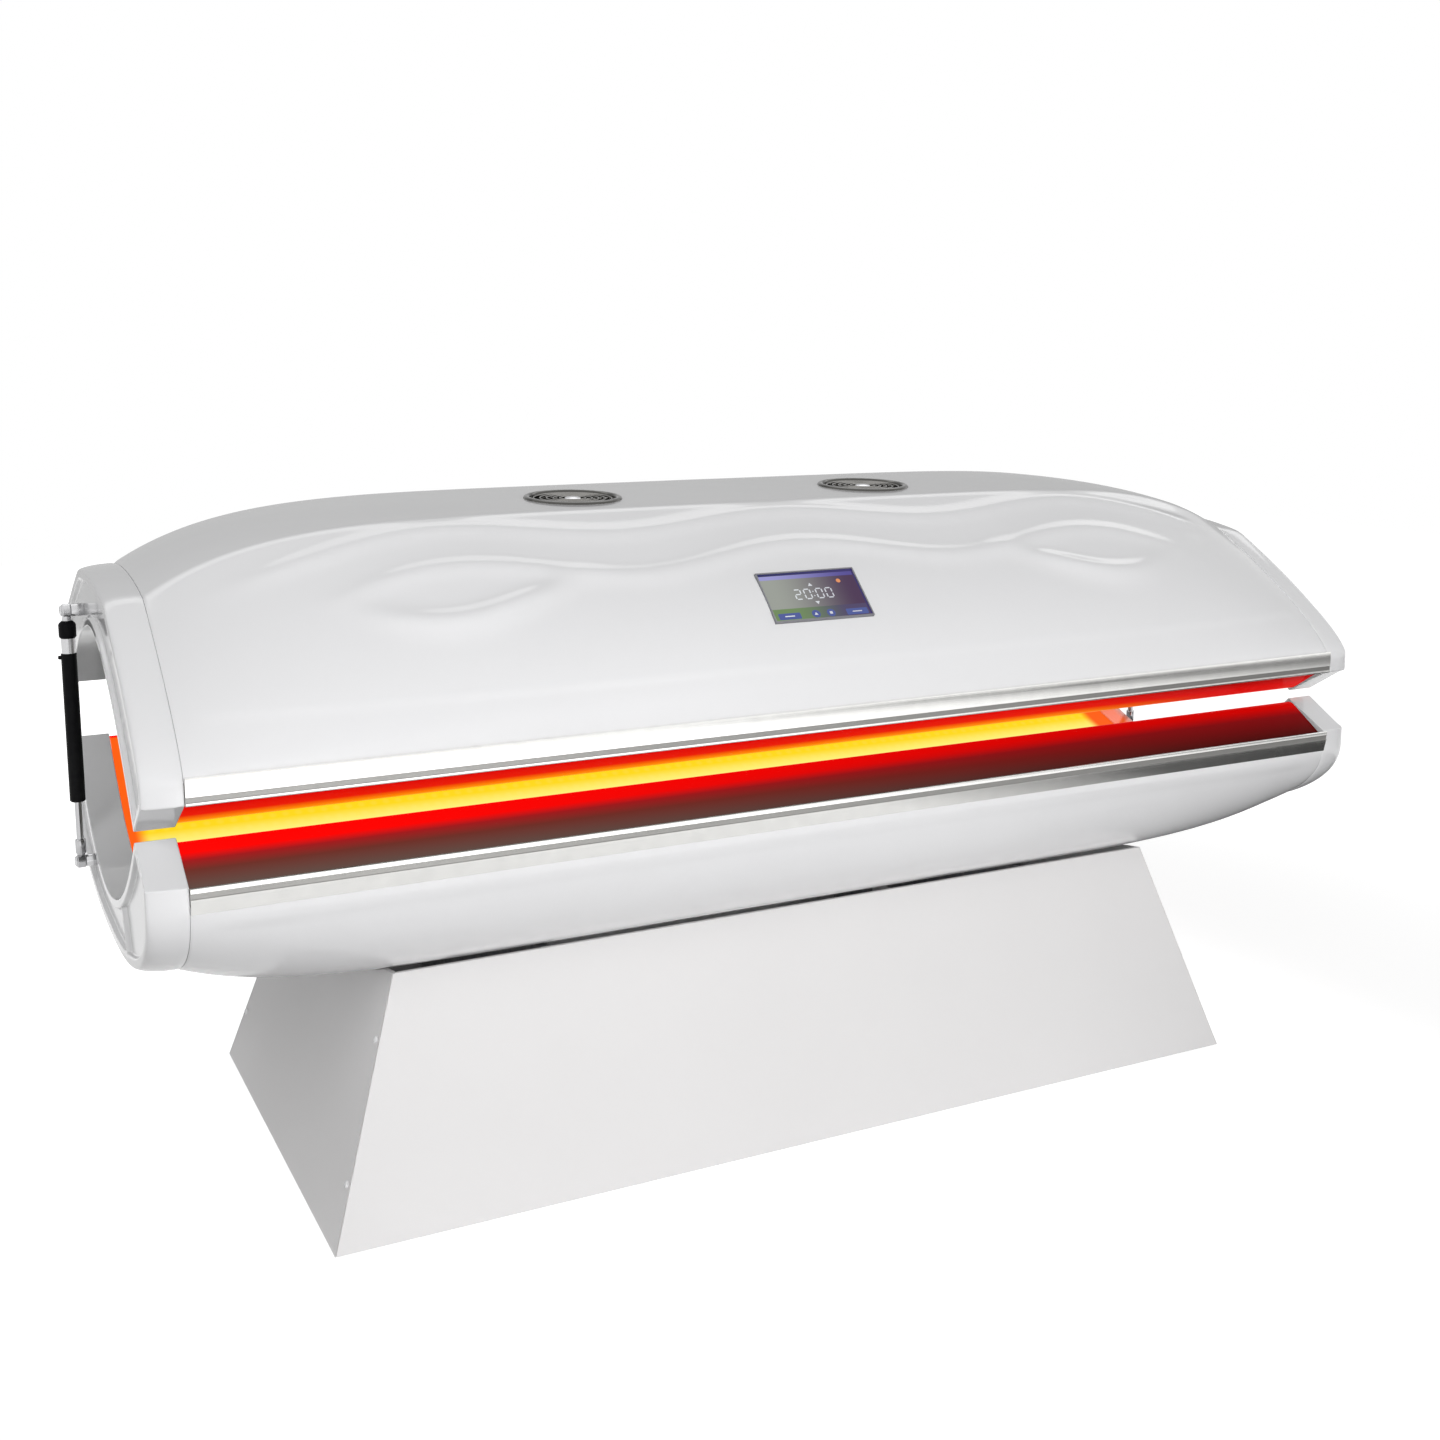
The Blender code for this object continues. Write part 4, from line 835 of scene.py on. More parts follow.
# %% Outlines
def rounded(corner_list, steps=4):
    """Rounds a polygon given as (x, y, radius) corners."""
    line = []
    count = len(corner_list)
    for i, (x, y, radius) in enumerate(corner_list):
        here = Vector((x, y))
        before = Vector(corner_list[i - 1][:2])
        after = Vector(corner_list[(i + 1) % count][:2])
        if radius <= 0:
            line.append((x, y))
            continue
        into, out = (here - before).normalized(), (after - here).normalized()
        cut = radius * math.tan(into.angle(out) / 2)
        first, last = here - into * cut, here + out * cut
        for step in range(steps + 1):
            share = step / steps
            line.append(tuple((1 - share) ** 2 * first + 2 * share * (1 - share) * here + share**2 * last))
    return line


def rounded_box(x, y, width, height, radius, steps=4):
    signs = ((-1, -1), (1, -1), (1, 1), (-1, 1))
    return rounded([(x + i * width / 2, y + j * height / 2, radius) for i, j in signs], steps)


def circle(radius, sides=96):
    turns = [2 * math.pi * i / sides for i in range(sides)]
    return [(radius * math.cos(turn), radius * math.sin(turn)) for turn in turns]


print("outline helpers ready")


# %% Plates
def pull(bm, outline, way):
    """Closes an outline, and the same outline moved along a vector, into a solid."""
    near = [bm.verts.new(point) for point in outline]
    far = [bm.verts.new(vert.co + Vector(way)) for vert in near]
    bm.faces.new(near)
    bm.faces.new(far)
    quads_between(bm, (near + near[:1], far + far[:1]))


def plate(bm, outline, low, high):
    """Pulls a closed (x, y) outline along Z."""
    pull(bm, [(x, y, low) for x, y in outline], (0, 0, high - low))


print("plate helpers ready")

# %% Cutting a hole
TILT_REACH = 0.02


def hood_frame(x, y):
    """A frame on the hood with its Z square to the skin and its X along the bed."""
    rise = hood_height(x, y + TILT_REACH) - hood_height(x, y - TILT_REACH)
    tilt = math.atan2(rise, 2 * TILT_REACH)
    return Matrix.Translation((x, y, hood_height(x, y))) @ Matrix.Rotation(tilt, 4, "X")


def cut_through(piece, name, outline, place, reach=0.06):
    """Cuts a straight hole with a Boolean and keeps only its result."""
    bm = bmesh.new()
    plate(bm, outline, -reach, reach)
    bmesh.ops.recalc_face_normals(bm, faces=bm.faces)
    bmesh.ops.transform(bm, matrix=Matrix.Translation((0, BED_Y, 0)) @ place, verts=bm.verts)
    mesh = bpy.data.meshes.new(name)
    bm.to_mesh(mesh)
    bm.free()
    cutter = bpy.data.objects.new(name, mesh)
    scene.collection.objects.link(cutter)
    step = piece.modifiers.new(name, "BOOLEAN")
    step.object, step.operation, step.solver = cutter, "DIFFERENCE", "EXACT"
    bpy.context.view_layer.update()
    graph = bpy.context.evaluated_depsgraph_get()
    result = bpy.data.meshes.new_from_object(piece.evaluated_get(graph))
    piece.modifiers.clear()
    piece.data = result
    bpy.data.objects.remove(cutter)


print("hole helpers ready")

# %% Holes for the vents and the screen
VENT_PLACES = {"left": (-0.2745, -0.033), "right": (0.2445, -0.033)}
VENT_RADIUS, VENT_THROAT = 0.0755, 0.066
SCREEN_PLACE, SCREEN_SIZE, BEZEL = (-0.017, -0.330), (0.160, 0.087), 0.002
for word, place in VENT_PLACES.items():
    cut_through(hood, f"vent_hole_{word}", circle(VENT_RADIUS + GAP), hood_frame(*place))
hole = rounded_box(0, 0, *(side + 2 * BEZEL + 2 * GAP for side in SCREEN_SIZE), 0.0)
cut_through(hood, "screen_hole", hole, hood_frame(*SCREEN_PLACE))
print("hood skin with holes:", len(hood.data.polygons), "faces")

# %% [markdown]
# ## The belly's skin
#
# The lower cover is formed in the same way. A soft step runs along it a few centimetres below the trim,
# where the sheet is pressed in before it turns under, and it shows as a line of shade in the photograph.

# %% Belly skin
STEP_DROP, STEP_DEPTH, STEP_SOFT, STEP_FADE = 0.034, 0.0028, 0.005, (0.06, 0.15)
BELLY_STATIONS, BELLY_COLUMNS = 120, 96


def belly_point(x, y):
    z = belly_height(x, y)
    below = BELLY_EDGE - z
    pressed = eased(below, STEP_DROP - STEP_SOFT, STEP_DROP + STEP_SOFT) * (1 - eased(below, *STEP_FADE))
    pressed *= 1 - eased(abs(x), *END_FLAT)
    moved = Vector((y, z)) + square_to(belly_height, x, y, -1) * (seam_relief(x) - STEP_DEPTH * pressed)
    return (moved.x, moved.y)


def belly_across(half):
    turns = [math.pi * (i / BELLY_COLUMNS - 0.5) for i in range(BELLY_COLUMNS + 1)]
    return [half * math.sin(turn) for turn in turns]


places = stations(BELLY_STATIONS)
across, across_inside = belly_across(HALF_WIDTH), belly_across(HALF_WIDTH - SHELL_WALL)
bm = bmesh.new()
walled_skin(
    bm,
    [[(x, *belly_point(x, y)) for y in across] for x in places],
    [[(x, y, belly_height(x, y, SHELL_WALL)) for y in across_inside] for x in places],
)
belly = new_piece("belly_skin", bm, gloss_white, "base", "base_shell")
print("belly skin:", len(belly.data.polygons), "faces")

# %% [markdown]
# ## End caps
#
# Each half ends in a thick moulding that rolls over to a flat end face, and inside a raised rim that face
# is sunk. The section of the shell is swept through a quarter turn to make the roll. The rim's edges are
# then rounded with a bevel modifier, because their highlights draw the outline of the tunnel's mouth. The
# far caps show orange inside, where the sheet's light spills on them, and that light is painted into the
# colour and glow of their walls.

# %% Painted light on the far caps
SPILL_FADE, SPILL_TINT, SPILL_GLOW = (0.952, 0.985), (0.85, 0.16, 0.02), (0.55, 0.06, 0.005)
painted_spill_white, tree, inputs = start_finish("painted_spill_white", Roughness=0.18, Emission_Strength=1.0)
parts = add_node(tree, "SeparateXYZ", {0: add_node(tree, "TexCoord").outputs["Object"]}).outputs
away = spread(tree, parts["X"], *SPILL_FADE)
tree.links.new(mix_colours(tree, away, SPILL_TINT, WHITE), inputs["Base Color"])
tree.links.new(mix_colours(tree, away, SPILL_GLOW, (0.0, 0.0, 0.0)), inputs["Emission Color"])
print("tinted finish:", painted_spill_white.name)


# %% Points along a line
def even_points(line, count):
    """Points at even distances along a line of (y, z) points."""
    line = [Vector(point) for point in line]
    runs = [0.0]
    for one, two in zip(line, line[1:]):
        runs.append(runs[-1] + (two - one).length)
    points, at = [], 0
    for i in range(count + 1):
        want = runs[-1] * i / count
        while at < len(line) - 2 and runs[at + 1] < want:
            at += 1
        span = runs[at + 1] - runs[at]
        points.append(tuple(line[at].lerp(line[at + 1], (want - runs[at]) / span if span else 0.0)))
    return points


print("line helper ready")

# %% Recipe for a cap
CAP_STEPS, CAP_POINTS, CAP_SLOPE = 14, 96, 0.003
RIB_Y, RIB_HALF, RIB_SINK = -0.165, 0.006, 0.2
RIM_ROUND, RIM_STEPS, RIM_ANGLE = 0.0014, 3, math.radians(38)


def cap_piece(name, side, skin, edge_at, way, tunnel, ribs, body, stands_for):
    """Rolls the skin over to the end face, then draws that face as a strip between skin and tunnel."""
    bm = bmesh.new()
    skin, tunnel = even_points(skin, CAP_POINTS), even_points(tunnel, CAP_POINTS)
    wall = []
    for i in range(CAP_STEPS + 1):
        turn = math.pi / 2 * i / CAP_STEPS
        x = SHELL_HALF + SEAM_GAP + (CAP_WIDTH - SEAM_GAP) * math.sin(turn)
        inset = CAP_INSET * (1 - math.cos(turn)) + SEAM_DEPTH * (i == 0)
        row = []
        for y, z in skin:
            drawn = inset * min(1.0, max(0.0, way * (z - edge_at(y)) / CAP_BLEND))
            row.append((side * x, y * (1 - inset / HALF_WIDTH), z - way * drawn))
        wall.append(row)
    end_x = SHELL_HALF + CAP_WIDTH
    columns = []
    for outer, inner in zip(wall[-1], tunnel):
        outer, inner = Vector(outer[1:]), Vector(inner)
        thick = (inner - outer).length
        from_end = min((outer - Vector(wall[-1][end][1:])).length for end in (0, -1))
        sunk = CAP_RECESS * eased(from_end, CAP_RIM, CAP_RIM + CAP_SLOPE)
        if ribs and abs((outer.x + inner.x) / 2 - RIB_Y) < RIB_HALF:
            sunk *= RIB_SINK
        reach = [CAP_RIM, CAP_RIM + CAP_SLOPE, thick - CAP_RIM - CAP_SLOPE, thick - CAP_RIM]
        column = []
        for distance, down in zip(reach, (0, sunk, sunk, 0)):
            point = outer.lerp(inner, distance / thick)
            column.append((side * (end_x - down), point.x, point.y))
        columns.append(column)
    lines = wall + [[column[j] for column in columns] for j in range(4)]
    lines += [[(side * x, y, z) for y, z in tunnel] for x in (end_x, SHELL_HALF + GAP)]
    rows = [[bm.verts.new(point) for point in line] for line in lines]
    quads_between(bm, rows + rows[:1])
    bm.faces.ensure_lookup_table()
    strips = len(rows) - 2
    # The tunnel walls of the right caps take the finish with the painted spill light.
    for face in bm.faces[strips * CAP_POINTS : (strips + 1) * CAP_POINTS]:
        face.material_index = int(side > 0)
    for end in (0, -1):
        bm.faces.new([row[end] for row in rows])
    piece = new_piece(name, bm, [gloss_white, painted_spill_white], body, stands_for)
    bevel = piece.modifiers.new("eased_rim", "BEVEL")
    bevel.width, bevel.segments = RIM_ROUND, RIM_STEPS
    bevel.limit_method, bevel.angle_limit = "ANGLE", RIM_ANGLE


print("cap recipe ready")

# %% Four end caps
CAP_SLOPE_LINES, CAP_TOP_LINES, TUNNEL_LINES = 40, 12, 64
tunnel_across = [LIP_END * (2 * i / TUNNEL_LINES - 1) for i in range(TUNNEL_LINES + 1)]
trough_line = [(y, trough_height(y)) for y in tunnel_across]
ceiling_line = [(y, ceiling_height(y)) for y in tunnel_across]
lower_skin = [(-HALF_WIDTH, LOWER_TRIM_TOP)]
lower_skin += [(y, belly_height(SHELL_HALF, y)) for y in belly_across(HALF_WIDTH)]
lower_skin += [(HALF_WIDTH, LOWER_TRIM_TOP)]
upper_skin = [(-HALF_WIDTH, FRONT_TRIM_FOOT)]
upper_skin += [(y, hood_soft(SHELL_HALF, y)) for y in hood_across(CAP_SLOPE_LINES, CAP_TOP_LINES)]
upper_skin += [(HALF_WIDTH, REAR_TRIM_FOOT)]
for side, word in ((-1, "left"), (1, "right")):
    low = (lower_skin, lambda y: BELLY_EDGE, -1, trough_line, True, "base", f"base_end_cap_{word}")
    cap_piece(f"belly_cap_{word}", side, *low)
    high = (upper_skin, hood_edge, 1, ceiling_line, False, "canopy", f"canopy_end_cap_{word}")
    cap_piece(f"hood_cap_{word}", side, *high)
print("four end caps")

# %% [markdown]
# ## Trims
#
# A drawn aluminium strip finishes the edge of each half and laps over the edge of its cover. The upper
# strip is a broad bright face with a grey line low down, so its section has a groove and a small bead below
# it. The lower strip has the grey line near its top. Its face slants under below that line, so it mirrors
# the shade on the floor and darkens to the right, as in the photograph, and a thin rim hides its flat top.
# Each corner of a section is a distance from the bed's middle, a height above the strip's foot and a radius.

# %% Recipe for a strip
LINE_DEPTH, LINE_EDGE, STRIP_SHARP = 0.0012, 0.0005, 50


def prism(bm, outline, x0, x1):
    """Pulls a closed (y, z) outline along X."""
    pull(bm, [(x0, y, z) for y, z in outline], (x1 - x0, 0, 0))


def strip_piece(name, side, foot, section, line, body, stands_for):
    """line is the range of heights above the foot where the groove, along the middle half of the strip,
    takes a grey metal that paints its shade and darker reflection.
    """
    bm = bmesh.new()
    prism(bm, [(side * y, foot + z) for y, z in rounded(section)], -SHELL_HALF + GAP, SHELL_HALF - GAP)
    for face in bm.faces:
        at = face.calc_center_median()
        in_line = line[0] - LINE_EDGE < at.z - foot < line[1] + LINE_EDGE
        sunk = LINE_DEPTH / 2 < TRIM_OUT - abs(at.y) < LINE_DEPTH * 2
        face.material_index = int(in_line and sunk and abs(at.x) < SHELL_HALF / 2)
    finishes = [satin_trim, groove_shade_grey]
    new_piece(name, bm, finishes, body, stands_for, sharp=STRIP_SHARP)


print("strip recipe ready")

# %% Section of the upper strip
UPPER_TRIM, UPPER_LAP, UPPER_LINE = 0.028, 0.007, (0.0045, 0.0110)
HOOD_BACK, BEAD_BACK = 0.4112, 0.0005
upper_section = [
    (TRIM_IN, 0, 0),
    (TRIM_OUT - BEAD_BACK, 0, 0.003),
    (TRIM_OUT - BEAD_BACK, UPPER_LINE[0], 0.0010),
    (TRIM_OUT - LINE_DEPTH, UPPER_LINE[0] + LINE_EDGE, 0),
    (TRIM_OUT - LINE_DEPTH, UPPER_LINE[1], 0),
    (TRIM_OUT, UPPER_LINE[1] + LINE_EDGE, 0.0010),
    (TRIM_OUT, UPPER_TRIM + UPPER_LAP, 0.0015),
    (HOOD_BACK, UPPER_TRIM + UPPER_LAP, 0),
    (HOOD_BACK, UPPER_TRIM, 0),
    (TRIM_IN, UPPER_TRIM, 0),
]
print("upper strip", UPPER_TRIM + UPPER_LAP, "m wide")

# %% Section of the lower strip
LOWER_TRIM, LOWER_LAP, LOWER_LINE = 0.0245, 0.0095, (0.0110, 0.0178)
BELLY_BACK, LAP_TOE, RIM, RIM_DEPTH = 0.4134, 0.0012, 0.0040, 0.0050
lower_section = [
    (TRIM_IN, 0, 0),
    (BELLY_BACK, 0, 0),
    (BELLY_BACK, -LOWER_LAP, 0),
    (BELLY_BACK + LAP_TOE, -LOWER_LAP, 0.0004),
    (TRIM_OUT - BEAD_BACK, LOWER_LINE[0], 0.0008),
    (TRIM_OUT - LINE_DEPTH, LOWER_LINE[0] + LINE_EDGE, 0),
    (TRIM_OUT - LINE_DEPTH, LOWER_LINE[1], 0),
    (TRIM_OUT, LOWER_LINE[1] + LINE_EDGE, 0.0008),
    (TRIM_OUT, LOWER_TRIM, 0.0012),
    (TRIM_OUT - RIM, LOWER_TRIM, 0.0010),
    (TRIM_OUT - RIM - LINE_EDGE, LOWER_TRIM - RIM_DEPTH, 0),
    (TRIM_IN, LOWER_TRIM - RIM_DEPTH, 0),
]
print("lower strip", LOWER_TRIM + LOWER_LAP, "m wide")

# %% Four trim strips
for side, word, foot in ((-1, "front", FRONT_TRIM_FOOT), (1, "rear", REAR_TRIM_FOOT)):
    upper = (upper_section, UPPER_LINE, "canopy", f"canopy_{word}_trim")
    strip_piece(f"hood_strip_{word}", side, foot, *upper)
    lower = (lower_section, LOWER_LINE, "base", f"base_{word}_trim")
    strip_piece(f"belly_strip_{word}", side, BELLY_EDGE + GAP, *lower)
print("four trim strips")

# %% [markdown]
# ## Acrylic sheets
#
# Each sheet is bent hot: a sloping lip at both long edges, a rounded fold, and the curved wall of the
# tunnel between them. The section is drawn as a line, its folds are softened by averaging neighbours, and
# the line is thickened to five millimetres on the side away from the tunnel.


# %% Thickening a line
def offset_line(points, distance):
    points = [Vector(point) for point in points]
    moved = []
    for i, here in enumerate(points):
        steps = [here - points[i - 1]] if i else []
        if i + 1 < len(points):
            steps.append(points[i + 1] - here)
        sides = [Vector((-step.y, step.x)).normalized() for step in steps]
        middle = sum(sides, Vector((0, 0))).normalized()
        moved.append(tuple(here + middle * distance / middle.dot(sides[0])))
    return moved


print("offset helper ready")

# %% Recipe for a sheet
ACRYLIC, LIP_STEPS, FOLD_PASSES = 0.005, 18, 6


def sheet_piece(name, wall, front_z, rear_z, way, finish, body, stands_for):
    reach = TRIM_IN - GAP
    ends = ((-reach, front_z), wall[0]), (wall[-1], (reach, rear_z))
    lips = []
    for start, end in ends:
        lips.append([Vector(start).lerp(Vector(end), i / LIP_STEPS) for i in range(LIP_STEPS + 1)])
    skin = lips[0][:-1] + [Vector(point) for point in wall] + lips[1][1:]
    for _ in range(FOLD_PASSES):
        inner = [(a + 2 * b + c) / 4 for a, b, c in zip(skin, skin[1:], skin[2:])]
        skin = [skin[0], *inner, skin[-1]]
    back = offset_line(skin, way * ACRYLIC)
    bm = bmesh.new()
    prism(bm, [tuple(point) for point in skin] + back[::-1], -SHELL_HALF + GAP, SHELL_HALF - GAP)
    piece = new_piece(name, bm, finish, body, stands_for)
    piece.visible_diffuse = piece.visible_glossy = False


print("sheet recipe ready")

# %% Two acrylic sheets
UPPER_TUCK = 0.002
lower_lip = LOWER_TRIM_TOP - RIM_DEPTH
sheet_piece("trough_sheet", trough_line, lower_lip, lower_lip, -1, lower_lit, "base", "base_acrylic")
upper_lips = (FRONT_TRIM_FOOT + UPPER_TUCK, REAR_TRIM_FOOT + UPPER_TUCK)
sheet_piece("ceiling_sheet", ceiling_line, *upper_lips, 1, upper_lit, "canopy", "canopy_acrylic")
print("two acrylic sheets")

# %% [markdown]
# ## Vents
#
# Two chrome rings in the top of the hood cover the fans. Each has a rolled rim and a guard of round wire.
# The rim is a turned profile, and the guard is a set of thin rings and spokes, as a wire guard is welded.

# %% Turned shapes
SAME_SPOT = 1e-6


def turned(bm, profile, place, sides=48):
    """Spins a (radius, height) line about Z, then moves it to its place."""
    rings = []
    for radius, height in profile:
        if radius < SAME_SPOT:
            rings.append([bm.verts.new((0, 0, height))])
            continue
        turns = [2 * math.pi * i / sides for i in range(sides)]
        rings.append([bm.verts.new((radius * math.cos(a), radius * math.sin(a), height)) for a in turns])
    for one, two in zip(rings, rings[1:]):
        for i in range(sides):
            after = i + 1
            corners = [one[i % len(one)], one[after % len(one)], two[after % len(two)], two[i % len(two)]]
            corners = list(dict.fromkeys(corners))
            if len(corners) > 2:
                bm.faces.new(corners)
    bmesh.ops.transform(bm, matrix=place, verts=[vert for ring in rings for vert in ring])


def set_finish(bm, finish_number, keep):
    """Gives the faces whose middle passes the test another of the piece's finishes."""
    for face in bm.faces:
        if keep(face.calc_center_median()):
            face.material_index = finish_number


def along_x(x, y, z, way=1):
    return Matrix.Translation((x, y, z)) @ Matrix.Rotation(way * math.pi / 2, 4, "Y")


print("turning helpers ready")

# %% Rim of a vent
VENT_PROUD, VENT_DEPTH = 0.0035, 0.030
rim_profile = [
    (VENT_THROAT, -VENT_DEPTH),
    (VENT_THROAT, 0.0006),
    (VENT_THROAT + 0.0008, 0.0024),
    (VENT_THROAT + 0.0026, VENT_PROUD),
    (VENT_RADIUS - 0.0028, VENT_PROUD),
    (VENT_RADIUS - 0.0008, 0.0026),
    (VENT_RADIUS, 0.0008),
    (VENT_RADIUS, -VENT_DEPTH),
    (VENT_THROAT, -VENT_DEPTH),
]
print("rim", VENT_PROUD, "m proud")

# %% Wire of a guard
WIRE, WIRE_LEVEL = 0.0013, -0.0004
GUARD_RINGS = (0.020, 0.030, 0.040, 0.050, 0.060)
GUARD_SPOKES, SPOKE_START, SPOKE_LENGTH, SPOKE_LEVEL = 6, 0.0105, VENT_THROAT - 0.010, -0.0030
HUB, HUB_FOOT, GUARD_EDGE = 0.0128, -0.0045, VENT_THROAT - 0.0002


def wire_ring(bm, radius, thick, height, sides=64, round_sides=8):
    rows = []
    for i in range(sides):
        turn = 2 * math.pi * i / sides
        row = []
        for j in range(round_sides):
            bend = 2 * math.pi * j / round_sides
            out = radius + thick * math.cos(bend)
            row.append((out * math.cos(turn), out * math.sin(turn), height + thick * math.sin(bend)))
        rows.append(row)
    made = [[bm.verts.new(point) for point in row] for row in rows]
    made = [row + row[:1] for row in made]
    quads_between(bm, made + made[:1])


print("a guard has", len(GUARD_RINGS), "rings and", GUARD_SPOKES, "spokes")

# %% Two vents
# The rim and the wires are dark chrome whose low colour paints dark reflections; the hub is bright chrome.
VENT_FINISHES = [dark_reflection_chrome, dark_reflection_wire, chrome_plate]
for word, place in VENT_PLACES.items():
    bm = bmesh.new()
    turned(bm, rim_profile, Matrix.Identity(4), sides=96)
    bmesh.ops.remove_doubles(bm, verts=bm.verts, dist=SAME_SPOT)
    for radius in GUARD_RINGS:
        wire_ring(bm, radius, WIRE, WIRE_LEVEL)
    for i in range(GUARD_SPOKES):
        spoke = [(0, 0), (WIRE, 0), (WIRE, SPOKE_LENGTH), (0, SPOKE_LENGTH)]
        around = Matrix.Rotation(2 * math.pi * i / GUARD_SPOKES, 4, "Z")
        turned(bm, spoke, around @ along_x(SPOKE_START, 0, SPOKE_LEVEL), sides=8)
    hub = [(0, 0.0024), (0.008, 0.0020), (0.0118, 0.0008), (HUB, -0.0010), (HUB, HUB_FOOT), (0, HUB_FOOT)]
    turned(bm, hub, Matrix.Identity(4), sides=40)
    set_finish(bm, 1, lambda at: at.xy.length < GUARD_EDGE)
    set_finish(bm, 2, lambda at: at.xy.length < HUB)
    grille, on_hood = f"vent_grille_{word}", hood_frame(*place)
    new_piece(f"vent_ring_{word}", bm, VENT_FINISHES, "canopy", grille, on_hood)
print("two vents")

# %% [markdown]
# ## Gas springs
#
# At each end a gas spring carries the canopy. Its tube is black enamel with a bright band and a collar at
# the top, and its rod is chrome. Both end in an eye that turns on a stud. The profiles are turned, and the
# eyes are short rings laid across, so that the tube and the rod can each ride on their own body.

# %% Eyes of the gas springs
STRUT_X, STRUT_Y = 0.993, 0.155
LOWER_STUD, UPPER_STUD = 0.4329, 0.809438
EYE, EYE_WIDTH, EYE_ROOT, STUD = 0.0100, 0.012, 0.002, 0.005


def eye_ring(bm, x, z):
    half, soft = EYE_WIDTH / 2, 0.0012
    profile = [(STUD + GAP, -half), (EYE - soft, -half), (EYE, -half + soft), (EYE, half - soft)]
    profile += [(EYE - soft, half), (STUD + GAP, half), (STUD + GAP, -half)]
    turned(bm, profile, along_x(x, STRUT_Y, z), sides=40)
    bmesh.ops.remove_doubles(bm, verts=bm.verts, dist=SAME_SPOT)


print("eyes", round(UPPER_STUD - LOWER_STUD, 4), "m apart")

# %% Recipe for a tube
TUBE, TUBE_BORE, TUBE_MOUTH, TUBE_TOP = 0.011, 0.0065, 0.285, 0.0165
NECK, NUB_DROP, BAND, BRIGHT_FROM = 0.0062, 0.052, (-0.0465, -0.0235), 0.001


def tube_piece(word, x):
    bm = bmesh.new()
    mouth, top = -TUBE_MOUTH, -TUBE_TOP
    profile = [(TUBE_BORE, mouth), (TUBE - 0.0016, mouth), (TUBE, mouth + 0.0016), (TUBE, top - 0.047)]
    profile += [(TUBE - 0.0012, top - 0.046), (TUBE - 0.0012, top - 0.024), (TUBE + 0.0006, top - 0.0225)]
    profile += [(TUBE + 0.0012, top - 0.021), (TUBE + 0.0012, top - 0.004), (TUBE, top - 0.0015)]
    profile += [(TUBE - 0.004, top + 0.002), (NECK, top + 0.0045)]
    profile += [(NECK, -EYE + EYE_ROOT), (0, -EYE + EYE_ROOT)]
    turned(bm, profile, Matrix.Translation((x, STRUT_Y, UPPER_STUD)), sides=48)
    eye_ring(bm, x, UPPER_STUD)
    collar = UPPER_STUD + top
    nub = [(0, 0), (0.0030, 0), (0.0030, 0.0130), (0.0022, 0.0150), (0, 0.0152)]
    turned(bm, nub, along_x(x, STRUT_Y, collar - NUB_DROP, math.copysign(1, x)), sides=20)
    band = [collar + edge for edge in BAND]

    def is_bright(at):
        in_band = band[0] < at.z < band[1] and abs(at.x - x) < TUBE
        return in_band or at.z > collar + BRIGHT_FROM

    set_finish(bm, 1, is_bright)
    body = f"strut_tube_{word}"
    new_piece(f"spring_tube_{word}", bm, [black_enamel, turned_steel], body, body)


print("tube", 2 * TUBE, "m thick")

# %% Recipe for a rod
ROD, ROD_LENGTH, ROD_SHORT, SOCKET = 0.005, 0.278, 0.0006, 0.0026


def rod_piece(word, x):
    bm = bmesh.new()
    tip = ROD_LENGTH - ROD_SHORT
    profile = [(0, tip), (ROD - 0.0008, tip), (ROD, tip - 0.0008), (ROD, 0.034), (ROD + 0.0022, 0.033)]
    profile += [(ROD + SOCKET, 0.031), (ROD + SOCKET, 0.014), (ROD + 0.0012, 0.011)]
    profile += [(ROD, EYE - EYE_ROOT), (0, EYE - EYE_ROOT)]
    turned(bm, profile, Matrix.Translation((x, STRUT_Y, LOWER_STUD)), sides=40)
    eye_ring(bm, x, LOWER_STUD)
    body = f"strut_rod_{word}"
    new_piece(f"spring_rod_{word}", bm, chrome_rod, body, body)


print("rod", 2 * ROD, "m thick")

# %% Recipe for a stud
STUD_HEAD, STUD_FLANGE, STUD_PROUD = 0.0080, 0.0090, 0.0035


def stud_piece(name, side, z, body, stands_for):
    start = SHELL_HALF + CAP_WIDTH - CAP_RECESS + GAP
    near, far = STRUT_X - EYE_WIDTH / 2 - GAP, STRUT_X + EYE_WIDTH / 2 + GAP
    end = far + STUD_PROUD
    profile = [(0, end), (0.0045, end - 0.0002), (0.0068, end - 0.0012)]
    profile += [(STUD_HEAD, far + 0.0008), (STUD_HEAD, far), (STUD, far), (STUD, near), (0.0082, near)]
    profile += [(STUD_FLANGE, near - 0.0012), (STUD_FLANGE, start + 0.001), (0.0086, start), (0, start)]
    bm = bmesh.new()
    turned(bm, profile, along_x(0, STRUT_Y, z, side), sides=40)
    new_piece(name, bm, turned_steel, body, stands_for)


print("stud", 2 * STUD, "m thick")

# %% Two gas springs
for side, word in ((-1, "left"), (1, "right")):
    tube_piece(word, side * STRUT_X)
    rod_piece(word, side * STRUT_X)
    stud_piece(f"lower_stud_{word}", side, LOWER_STUD, "base", f"strut_base_stud_{word}")
    stud_piece(f"upper_stud_{word}", side, UPPER_STUD, "canopy", f"strut_canopy_stud_{word}")
print("two gas springs")

# %% [markdown]
# ## Touch screen
#
# The screen in the front slope shows a plain timer page: a top bar, a soft background, a running time and
# a row of buttons. A picture texture isn't used. The background is a gradient in the glass's own finish,
# light at the left, where it paints a glare on the glass, and dark at the right. Each symbol is a thin plate
# laid on it, so the page stays sharp at any size.

# %% Recipe for a lit display
SCREEN_LIGHT, GLASS_BLACK = 0.9, (0.01, 0.01, 0.012, 1.0)


